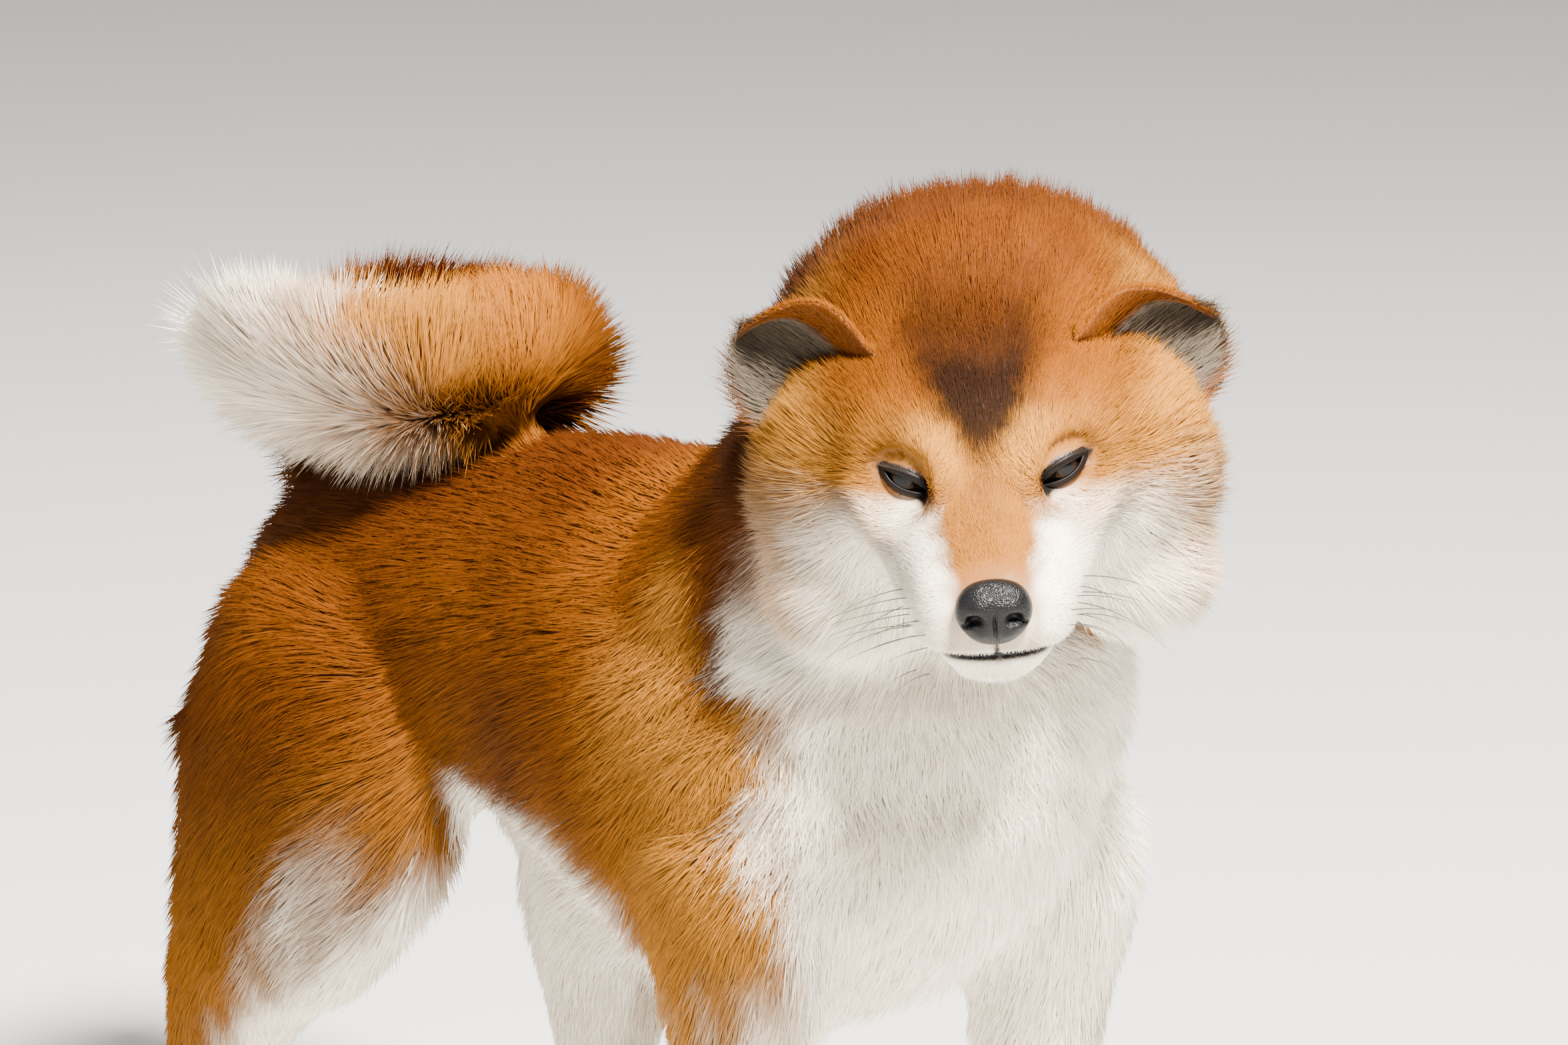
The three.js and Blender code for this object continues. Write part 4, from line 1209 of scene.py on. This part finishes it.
# Even random places over the skin: equal steps through the summed shares of the triangles, each
# moved a little, and a random place inside the triangle that the step falls in.
def growRoots():
    share = np.where(triOpen, triArea / triEach, 0)
    total = np.cumsum(share)
    count = int(total[-1])
    steps = (np.arange(count) + rng.uniform(0, 1, count)) * total[-1] / count
    found = np.minimum(np.searchsorted(total, steps), len(share) - 1)
    u, v = rng.uniform(size=(2, count))
    u, v = np.where(u + v > 1, 1 - u, u), np.where(u + v > 1, 1 - v, v)
    return found, np.stack([1 - u - v, u, v], -1)


rootTri, rootMix = growRoots()


# Values of the skin's points, mixed at each root by its place inside the triangle.
def atRoots(values):
    mix = rootMix.reshape(len(rootTri), 3, *([1] * (values.ndim - 1)))
    return (values[triPoints[rootTri]] * mix).sum(1)


roots = {
    "at": atRoots(skinPoints),
    "out": unit(atRoots(skinNormals)),
    "lie": atRoots(skinLie),
    "weights": atRoots(skinWeights),
    "uv": (skinUv[triLoops[rootTri]] * rootMix[..., None]).sum(1),
}
roots["lie"] = alongSkin(roots["lie"], roots["out"])
roots["weights"] /= roots["weights"].sum(1, keepdims=True)


# One of the coat's measures at each root, mixed from the regions that meet there.
def fieldOf(key):
    return roots["weights"] @ np.array([coats[name][key] for name in coatNames])


# markings are read a few millimetres away from each root, so their borders are ragged
raggedness = {"share": 0.14, "most": 4}
strays = np.minimum(fieldOf("long") * raggedness["share"], raggedness["most"])[:, None]
strayed = roots["at"] + rng.normal(0, 1, (len(rootTri), 3)) * strays
earsAtRoots = {key: atRoots(values) for key, values in ears.items()}
roots["marks"] = markings(strayed, roots["out"], earsAtRoots)
print("roots:", len(rootTri))


shortest = {"eyes": 0.42, "nose": 0.35, "mouth": 0.32}  # shares of the full length


# Share of its length that each tuft keeps: hair is shorter next to the eyes, nose and mouth.
def shortness():
    def grown(least, share):
        return least + (1 - least) * share

    close = np.ones(len(roots["at"]))
    for sign in (1, -1):
        local = toEye(roots["at"], sign)
        off = np.hypot(local[:, 0] / 1.7, local[:, 2]) + 0.6 * np.maximum(local[:, 1], 0)
        close = np.minimum(close, grown(shortest["eyes"], ramp(4, 13, off)))
    head = toHead(roots["at"])
    nose = np.linalg.norm((head - np.array([0, -70, -25.5])) / np.array([15, 12, 13]), axis=1)
    close = np.minimum(close, grown(shortest["nose"], ramp(1.0, 2.2, nose)))
    mouth = np.abs(aboveMouth(head)) + 20 * ramp(-12, 0, head[:, 1])
    return np.minimum(close, grown(shortest["mouth"], ramp(1, 9, mouth)))


shorter = shortness()


variety = {  # how the tufts differ from one another
    "long": (0.72, 1.22),
    "wide": (0.7, 1.3),
    "lift": (0.75, 1.25),
    "lie": (0.5, 1.5),
    "sway": 0.10,
    "swayOnRuff": 1.6,  # so much more on the chest
    "lengthWave": 0.12,
    "lieWave": 5,  # degrees
}


# Arrays that describe the chosen tufts: place, ways, sizes and colours, each a little varied.
def coatArrays(pick):
    at, out, lie = roots["at"][pick], roots["out"][pick], roots["lie"][pick]
    n = len(at)
    wavy = 1 + variety["swayOnRuff"] * roots["weights"][pick, coatNames.index("ruff")]
    sway = wander(at, 9, 21) * 0.16 + wander(at, 3.5, 22) * 0.14 + rng.normal(0, variety["sway"], n)
    side = np.cross(out, lie)
    lie = unit(lie + side * (sway * wavy)[:, None])
    long = fieldOf("long")[pick] * rng.uniform(*variety["long"], n)
    long = long * (1 + variety["lengthWave"] * wander(at, 6, 23)) * shorter[pick]
    wide = fieldOf("wide")[pick] * rng.uniform(*variety["wide"], n)
    lift = np.radians(fieldOf("lift")[pick] * rng.uniform(*variety["lift"], n))
    flat = fieldOf("lie")[pick] * rng.uniform(*variety["lie"], n)
    flat = np.radians(flat + variety["lieWave"] * wander(at, 5, 24))
    return {
        "at": at, "out": out, "lie": lie, "long": long, "wide": wide, "lift": lift, "flat": flat,
        "marks": roots["marks"][pick], "uv": roots["uv"][pick], "tone": rng.uniform(0, 1, n),
    }


tuft = {
    "ridgeAt": 0.38,  # place of the ridge point along the tuft
    "ridgeHigh": (0.22, 0.018),  # shares of the width and of the length
    "sunk": 0.25,  # how deep the root lies, in mm and as a share of the width
    "liftShare": 0.35,  # how much of the slope is the root's lift
    "faces": np.array([(0, 1, 2), (0, 2, 3), (1, 3, 2), (0, 3, 1)]),
    # where the four points lie on the skin's unwrap, from the root's own place
    "patch": np.array([(-0.0012, 0.0010), (-0.0012, -0.0010), (0.0, 0.0002), (0.0015, 0.0)]),
}
tuft["along"] = np.array([0, 0, tuft["ridgeAt"], 1.0])


# Tufts of four points, with their normals: a flat triangle from two root points to the tip, and a
# low ridge point over its middle. The root points lie a little under the skin.
def tuftPoints(hair):
    out, lie, long, wide = hair["out"], hair["lie"], hair["long"][:, None], hair["wide"][:, None]
    slope = tuft["liftShare"] * hair["lift"] + (1 - tuft["liftShare"]) * hair["flat"]
    slope = slope[:, None]
    way = lie * np.cos(slope) + out * np.sin(slope)
    side = unit(np.cross(out, lie))
    up = unit(np.cross(way, side))
    up = np.where((up * out).sum(1, keepdims=True) < 0, -up, up)
    base = hair["at"] - out * (tuft["sunk"] * wide + tuft["sunk"])
    ofWidth, ofLength = tuft["ridgeHigh"]
    ridge = base + way * long * tuft["ridgeAt"] + up * (wide * ofWidth + long * ofLength)
    left, right = base + side * wide * 0.5, base - side * wide * 0.5
    points = np.stack([left, right, ridge, base + way * long], 1)
    leaning = [out + side * 0.45, out - side * 0.45, out + up * 0.5, out + way * 0.5]
    return points, unit(np.stack(leaning, 1))


# The points' normals at each face's corners, but a face that looks the other way, such as an
# underside, keeps its own.
def cornerNormals(points, normals, faces):
    a, b, c = (points[:, faces[:, n]] for n in range(3))
    flat = unit(np.cross(b - a, c - a))[:, :, None]
    soft = normals[:, faces]
    away = (soft * flat).sum(-1, keepdims=True) < 0.05
    return np.where(away, flat, soft).reshape(-1, 3)


# One piece of coat from its tufts, with their markings, their place on the skin's unwrap, and
# normals that lean towards the skin's own, which softens the light on them.
def makeTufts(name, hair):
    n, size = len(hair["at"]), len(tuft["along"])
    points, normals = tuftPoints(hair)
    points[..., 2] = np.maximum(points[..., 2], skinShape["overFloor"] + floorHeight)
    starts = (np.arange(n) * size)[:, None, None]
    triangles = (tuft["faces"][None] + starts).reshape(-1, 3)
    piece = makePiece(name, points.reshape(-1, 3), triangles, coatFinish)
    tone = hair["tone"].repeat(size)
    writeCoatMarks(piece.data, hair["marks"].repeat(size, 0), tone, np.tile(tuft["along"], n))
    layer = piece.data.uv_layers.new(name="OFBake")
    spots = (hair["uv"][:, None] + tuft["patch"][None]).reshape(-1, 2)
    spots = spots[triangles.reshape(-1)].astype(np.float32)
    layer.data.foreach_set("uv", spots.reshape(-1))
    corners = cornerNormals(points, normals, tuft["faces"])
    piece.data.normals_split_custom_set(corners.tolist())
    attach(piece, "root")


coatPieces = {  # the regions that each piece takes in
    "coatMuzzle": ("muzzle",),
    "coatFace": ("face",),
    "coatCrown": ("crown",),
    "coatCheeks": ("cheek",),
    "coatEars": ("ear", "earHollow"),
    "coatNape": ("nape",),
    "coatRuff": ("ruff",),
    "coatTorso": ("torso", "belly"),
    "coatThighs": ("thigh", "breech"),
    "coatShoulders": ("shoulder",),
    "coatLegs": ("leg",),
    "coatPaws": ("paw",),
    "coatTail": ("tail",),
}
mostTriangles = 196000  # a larger piece is made in parts


def growCoat():
    owner = roots["weights"].argmax(1)
    each = len(tuft["faces"])
    total = 0
    for name, regions in coatPieces.items():
        mine = np.isin(owner, [coatNames.index(region) for region in regions])
        pick = np.nonzero(mine)[0]
        parts = max(1, math.ceil(len(pick) * each / mostTriangles))
        for k, some in enumerate(np.array_split(pick, parts)):
            label = name if parts == 1 else f"{name}{k + 1}"
            makeTufts(label, coatArrays(some))
            total += len(some) * each
            print(label, len(some), "tufts")
    print("coat:", total, "triangles")


growCoat()


# The eyes.
eyeLook = {
    "iris": 31,  # degrees from the middle of the gaze
    "pupil": 13,
    "bulge": 0.7,
    "irisColours": ((0.004, 0.002, 0.0012), (0.013, 0.0055, 0.003)),
    "pupilColour": (0.003, 0.003, 0.003),
    "rimColour": (0.008, 0.005, 0.004),
    "roughness": 0.05,
    "shine": 0.12,
}


# A share that rises from 0 at the start by the slope for each unit, up to 1.
def rising(tree, value, start, slope):
    share = sums(tree, "MULTIPLY", sums(tree, "SUBTRACT", value, start), slope)
    return sums(tree, "MINIMUM", sums(tree, "MAXIMUM", share, 0.0), 1.0)


def eyeMaterial():
    material, tree, shader, place = newMaterial("eye", eyeLook["roughness"], eyeLook["shine"])
    far = attribute(tree, "gaze").outputs["Fac"]
    streaks = noiseAt(tree, 900, 2, place)
    iris = mixed(tree, streaks, *eyeLook["irisColours"])
    colour = mixed(tree, rising(tree, far, eyeLook["pupil"], 0.5), eyeLook["pupilColour"], iris)
    colour = mixed(tree, rising(tree, far, eyeLook["iris"], 0.2), colour, eyeLook["rimColour"])
    tree.links.new(colour, shader.inputs["Base Color"])
    return material


# Two balls whose front swells a little over the iris; the angle from the middle of the gaze is
# kept on the points, and the iris is drawn by it.
def makeEyes():
    rings, around = 64, 64
    angle = np.pi * (np.arange(rings) + 0.5) / rings
    turn = 2 * np.pi * np.arange(around) / around
    radius = headPlace["eyeRadius"] - 0.1 + eyeLook["bulge"] * ramp(40, 18, np.degrees(angle))
    x = (radius * np.sin(angle))[:, None] * np.cos(turn)[None]
    z = (radius * np.sin(angle))[:, None] * np.sin(turn)[None]
    y = np.repeat((-radius * np.cos(angle))[:, None], around, 1)
    local = np.stack([x, y, z], -1).reshape(-1, 3)
    poles = np.array([[0, -radius[0], 0], [0, radius[-1], 0]])
    local = np.concatenate([local, poles])
    degrees = np.concatenate([np.repeat(np.degrees(angle), around), [0, 180]])
    material = eyeMaterial()
    for sign, name in ((1, "left"), (-1, "right")):
        points = fromEye(local, sign)
        quads, triangles = gridFaces(rings, around), capFaces(rings, around)
        if sign < 0:
            quads, triangles = quads[:, ::-1], triangles[:, ::-1]
        piece = makePiece(f"eyeball_{name}", points, [quads, triangles], material)
        writeMarks(piece.data, gaze=degrees)
        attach(piece, "root")
        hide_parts(f"eye_{name}")


lidBand = {
    "wide": 1.6,
    "thick": 0.75,
    "corners": {"inner": (-4, -1.1), "outer": (5, 0.5)},  # where each starts, and its rise or fall
    "colours": ((0.002, 0.0016, 0.0016), (0.007, 0.005, 0.0045)),
    "roughness": 0.40,
    "shine": 0.10,
}


# A closed band round each opening: a flat oval section carried round the almond, thicker in the
# corners, in front of the eyeball.
def makeLidBands():
    around, section = 96, 12
    turn = 2 * np.pi * np.arange(around) / around
    half, high = eyeSlit["long"] / 2 + 0.5, eyeSlit["high"] / 2 + 0.35
    x = half * np.cos(turn)
    z = np.sign(np.sin(turn)) * high * np.abs(np.sin(turn)) ** 1.75
    (innerFrom, fall), (outerFrom, rise) = lidBand["corners"].values()
    z = z + fall * ramp(innerFrom, -half, x) + rise * ramp(outerFrom, half, x)
    x = x - 1.2 * ramp(-6, -half, x) - eyeSlit["inwards"]
    y = lidSurface(x, z, lidBand["thick"])
    line = np.stack([x, y, z], -1)
    way = unit(np.roll(line, -1, 0) - np.roll(line, 1, 0))
    out = unit(line * np.array([0.5, 1, 1]))
    side = unit(np.cross(way, out))
    bend = 2 * np.pi * np.arange(section) / section
    wide = lidBand["wide"] + 0.2 * ramp(6, half, np.abs(x + eyeSlit["inwards"]))
    points = (line[:, None] + side[:, None] * (np.cos(bend)[None] * wide[:, None])[..., None]
              + out[:, None] * (np.sin(bend)[None] * lidBand["thick"])[..., None])
    r, s = np.meshgrid(np.arange(around), np.arange(section), indexing="ij")
    here, ahead, beside = r * section, (r + 1) % around * section, (s + 1) % section
    quads = np.stack([here + s, ahead + s, ahead + beside, here + beside], -1).reshape(-1, 4)
    shapes = []
    for sign in (1, -1):
        faces = quads if sign > 0 else quads[:, ::-1]
        shapes.append((fromEye(points.reshape(-1, 3), sign), faces, np.zeros((0, 3), int)))
    points, quads, _ = joined(shapes)
    material, *_ = mottledMaterial("lidEdge", *lidBand["colours"], 700, 2,
                                   lidBand["roughness"], lidBand["shine"])
    piece = makePiece("lidEdges", points, quads, material)
    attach(piece, "root")


makeEyes()
makeLidBands()
print("eyes and lids")


# The nose.
noseShape = {
    "centre": (0, -72, -25.5),
    "size": (14.5, 9.0, 12.5),
    "square": 2.35,
    "grooveDeep": 1.1,
    "nostrilDeep": 4.2,
    "slotDeep": 2.6,
    "colours": ((0.0016, 0.0016, 0.0018), (0.005, 0.0048, 0.0052)),
    "roughness": 0.34,
    "shine": 0.17,
    "pits": {"scale": 1150, "pebbles": 0.9, "strength": 0.4, "depth": 0.0003},
}


# A superellipsoid with its poles in front and behind, narrower below, with a groove down the
# middle and a comma-shaped hollow on each side; hollows and lobes are bell curves of x and z.
def makeNose():
    rings, around = 120, 140
    tilt = np.pi * (np.arange(rings) + 0.5) / rings
    angle = 2 * np.pi * np.arange(around) / around
    lx = np.sin(tilt)[:, None] * np.cos(angle)[None]
    lz = np.sin(tilt)[:, None] * np.sin(angle)[None]
    ly = -np.repeat(np.cos(tilt)[:, None], around, 1)
    square = noseShape["square"]
    size = np.abs(lx) ** square + np.abs(lz) ** square + np.abs(ly) ** 2.1
    size = size ** (-1 / square)
    x, y, z = lx * size, ly * size, lz * size
    x = x * (1 - 0.16 * ramp(0.1, -1, z))
    width, depth, height = noseShape["size"]
    x, y, z = x * width, y * depth, z * height
    front = ramp(1.0, -4.0, y)
    side = np.abs(x)
    middle = np.hypot((side - 7.4) / 2.9, (z + 0.6) / 2.1)
    comma = np.hypot((side - 10.6) / 2.3, (z + 2.6 + 0.35 * (side - 10)) / 1.1)
    dent = noseShape["nostrilDeep"] * np.exp(-(middle**3))
    dent = dent + noseShape["slotDeep"] * np.exp(-(comma**2.4))
    groove = noseShape["grooveDeep"] * hump(side, 0, 0.7) * ramp(4.5, -1, z)
    lobe = 0.9 * hump(side, 5.6, 3.4) * hump(z, -6.6, 2.8)
    lobe = lobe + 0.7 * hump(side, 6.5, 4.0) * hump(z, 4.2, 2.4)
    y = y + front * (dent + groove - lobe)
    z = z - 0.7 * front * hump(side, 0, 3.5) * ramp(5, 11, z)
    points = np.stack([x, y, z], -1).reshape(-1, 3)
    poles = np.array([[0, points[:around, 1].mean(), 0], [0, depth, 0]])
    points = np.concatenate([points, poles]) + np.array(noseShape["centre"])
    material, tree, shader, place = mottledMaterial(
        "noseLeather", *noseShape["colours"], 260, 3, noseShape["roughness"], noseShape["shine"])
    addGrain(tree, shader, place, noseShape["pits"])
    faces = [gridFaces(rings, around), capFaces(rings, around)]
    piece = makePiece("noseLeather", fromHead(points), faces, material)
    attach(piece, "root")
    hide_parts("nose")


makeNose()
print("nose")


# Whiskers, lashes and claws.

# Tapered threads: each runs from its start along its way, bends towards its sag by the square of
# the distance, and thins to a point.
def threads(name, starts, ways, sags, longs, thick, material, steps=10, sides=4):
    n = len(starts)
    t = np.linspace(0, 1, steps)
    bent = ways[:, None] * t[None, :, None] + sags[:, None] * (t**2)[None, :, None]
    line = starts[:, None] + bent * longs[:, None, None]
    way = unit(np.gradient(line, axis=1))
    side = unit(np.cross(way, np.array([0.3, 0.2, 1.0])))
    up = np.cross(side, way)
    bend = 2 * np.pi * np.arange(sides) / sides
    radius = (thick * (1 - t) ** 0.6 * 0.5 + 0.02)[None, :, None, None]
    ring = side[:, :, None] * np.cos(bend)[:, None] + up[:, :, None] * np.sin(bend)[:, None]
    points = (line[:, :, None] + ring * radius).reshape(n, -1, 3)
    ends = np.stack([line[:, 0], line[:, -1]], 1)
    points = np.concatenate([points, ends], 1)
    size = points.shape[1]
    step = (np.arange(n) * size)[:, None, None]
    quads = (gridFaces(steps, sides)[None] + step).reshape(-1, 4)
    triangles = (capFaces(steps, sides)[None] + step).reshape(-1, 3)
    piece = makePiece(name, points.reshape(-1, 3), [quads, triangles], material)
    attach(piece, "root")


whiskerLook = {
    "thick": 0.42,
    "roughness": 0.45,
    "colours": ((0.008, 0.006, 0.005), (0.05, 0.035, 0.025)),
    "muzzle": [  # y, z and length of each, on both sides
        (-60, -32, 34), (-52, -30, 44), (-43, -29, 50), (-34, -29, 46),
        (-62, -37, 32), (-54, -36, 46), (-45, -35, 56), (-35, -35, 52),
        (-60, -43, 26), (-50, -42, 42), (-40, -42, 46), (-52, -57, 22), (-40, -60, 26),
    ],
    "browAndCheek": [  # x, y, z, the way and the length of each, on both sides
        (26, 8, 13, 0.25, -0.35, 0.9, 22),
        (31, 10, 14, 0.35, -0.3, 0.9, 18),
        (62, 18, -34, 0.8, 0.1, -0.5, 32),
    ],
}


# Rows of whiskers on both sides of the muzzle, and a few over the eyes and on the cheeks.
def makeWhiskers():
    rows = []
    for sign in (1, -1):
        for n, (y, z, long) in enumerate(whiskerLook["muzzle"]):
            x = 26 if y < -50 else 31
            way = (sign * 0.80, 0.50 + 0.02 * n, -0.16 - 0.02 * n)
            rows.append((sign * x, y, z, *way, long * 0.9))
    for sign in (1, -1):
        for x, y, z, sideways, back, up, long in whiskerLook["browAndCheek"]:
            rows.append((sign * x, y, z, sign * sideways, back, up, long))
    rows = np.array(rows, float)
    rows[:, 3:6] += rng.normal(0, 0.07, (len(rows), 3))
    starts = fromHead(rows[:, :3])
    ways = unit(rows[:, 3:6]) @ headTurning.T
    sags = np.array([[0, 0.1, -0.28]]) * rng.uniform(0.4, 1.4, (len(rows), 1))
    longs = rows[:, 6] * rng.uniform(0.85, 1.15, len(rows))
    material, *_ = mottledMaterial("whisker", *whiskerLook["colours"], 120, 2,
                                   whiskerLook["roughness"])
    threads("whiskers", starts, ways, sags, longs, whiskerLook["thick"], material)


lashLook = {
    "count": 16,
    "from": -8.5,
    "to": 9.5,
    "long": (3.5, 6.0),
    "thick": 0.34,
    "roughness": 0.5,
    "colours": ((0.004, 0.003, 0.002), (0.03, 0.018, 0.010)),
}


# Short lashes along the upper lids, turned outwards and up.
def makeLashes():
    count = lashLook["count"]
    x = np.linspace(lashLook["from"], lashLook["to"], count)
    local = np.stack([x, lidSurface(x, slitEdge(x, 0.9), 1.3), slitEdge(x, 0.9)], -1)
    ways = unit(np.stack([0.35 + 0.05 * x, np.full(count, -0.75), np.full(count, 0.35)], -1))
    starts, turned = [], []
    for sign in (1, -1):
        starts.append(fromEye(local, sign))
        turned.append(fromEye(local + ways, sign) - fromEye(local, sign))
    ways = unit(np.concatenate(turned))
    sags = np.tile(np.array([[0, 0, 0.5]]), (len(ways), 1))
    longs = rng.uniform(*lashLook["long"], len(ways))
    material, *_ = mottledMaterial("lash", *lashLook["colours"], 300, 2, lashLook["roughness"])
    starts = np.concatenate(starts)
    threads("lashes", starts, ways, sags, longs, lashLook["thick"], material, steps=6)


clawLook = {
    "long": 13,
    "radius": 2.6,
    "flat": 0.8,  # width for each unit of height
    "fall": (2.5, 4.4),  # straight down, and by the square of the distance
    "overFloor": 0.4,
    "roughness": 0.42,
    "colours": ((0.020, 0.014, 0.011), (0.10, 0.070, 0.050)),
}


# Bent cones: the radius falls with the distance and the middle line drops by its square.
def makeClaws():
    steps, sides = 14, 16
    t = np.linspace(0, 1, steps)
    bend = 2 * np.pi * np.arange(sides) / sides
    ring = np.stack([np.cos(bend) * clawLook["flat"], bend * 0, np.sin(bend)], -1)
    straight, curved = clawLook["fall"]
    middle = np.stack([t * 0, -t * clawLook["long"], -t * straight - curved * t**2], -1)
    radius = clawLook["radius"] * np.sqrt(np.clip(1 - t**1.6, 0, 1)) + 0.12
    shapes = []
    for rows, paw in legs:
        centres, size = toeSpots(rows, paw)
        for centre in centres:
            line = centre + np.array([0, -size[1] * 0.62, 1.5]) + middle
            points = (line[:, None] + ring[None] * radius[:, None, None]).reshape(-1, 3)
            points = np.concatenate([points, line[:1], line[-1:]])
            points[:, 2] = np.maximum(points[:, 2], clawLook["overFloor"] + floorHeight)
            quads, triangles = gridFaces(steps, sides), capFaces(steps, sides)
            shapes.append((points, quads[:, ::-1], triangles[:, ::-1]))
    points, quads, triangles = joined(shapes)
    material, *_ = mottledMaterial("horn", *clawLook["colours"], 420, 3, clawLook["roughness"])
    piece = makePiece("claws", points, [quads, triangles], material)
    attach(piece, "root")
    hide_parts(*[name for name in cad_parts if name.startswith("claw_")])


makeWhiskers()
makeLashes()
makeClaws()
print("whiskers and claws")


# The floor and the lights.
studio = {
    "floor": (0.60, 0.592, 0.578),
    "floorReach": 60000,
    "sky": (0.88, 0.89, 0.92),
    "skyPower": 0.60,
    "aim": (0, -0.1, 0.35),
    "lights": {  # place and size in metres, power in watts, colour
        "keyLight": ((-0.55, -1.8, 2.9), 0.6, 1180.0, (1.0, 0.96, 0.90)),
        "fillLight": ((-2.6, 0.2, 1.3), 1.8, 12.0, (1.0, 0.98, 0.95)),
        "rimLight": ((1.2, 1.8, 2.0), 0.9, 22.0, (1.0, 0.94, 0.84)),
    },
}


def makeFloor():
    corners = np.array([[-1, -1, 0], [1, -1, 0], [1, 1, 0], [-1, 1, 0]])
    points = corners * float(studio["floorReach"]) + np.array([0, 0, floorHeight])
    darker = tuple(v * 0.95 for v in studio["floor"])
    material, *_ = mottledMaterial("floor", studio["floor"], darker, 2.2, 3, 0.85, 0.2)
    floor = makePiece("floor", points, np.array([[0, 1, 2, 3]]), material, False)


def areaLight(name, at, size, power, colour):
    data = bpy.data.lights.new(name, "AREA")
    data.shape = "DISK"
    data.size = size
    data.energy = power
    data.color = colour
    lamp = bpy.data.objects.new(name, data)
    scene.collection.objects.link(lamp)
    lamp.location = at
    lamp.rotation_mode = "QUATERNION"
    lamp.rotation_quaternion = (Vector(at) - Vector(studio["aim"])).to_track_quat("Z", "Y")


def makeStudio():
    makeFloor()
    for name, (at, size, power, colour) in studio["lights"].items():
        areaLight(name, at, size, power, colour)
    world = bpy.data.worlds.new("world")
    scene.world = world
    world.use_nodes = True
    back = world.node_tree.nodes["Background"]
    back.inputs["Color"].default_value = (*studio["sky"], 1)
    back.inputs["Strength"].default_value = studio["skyPower"]


makeStudio()
print("studio set")

bpy.context.view_layer.update()
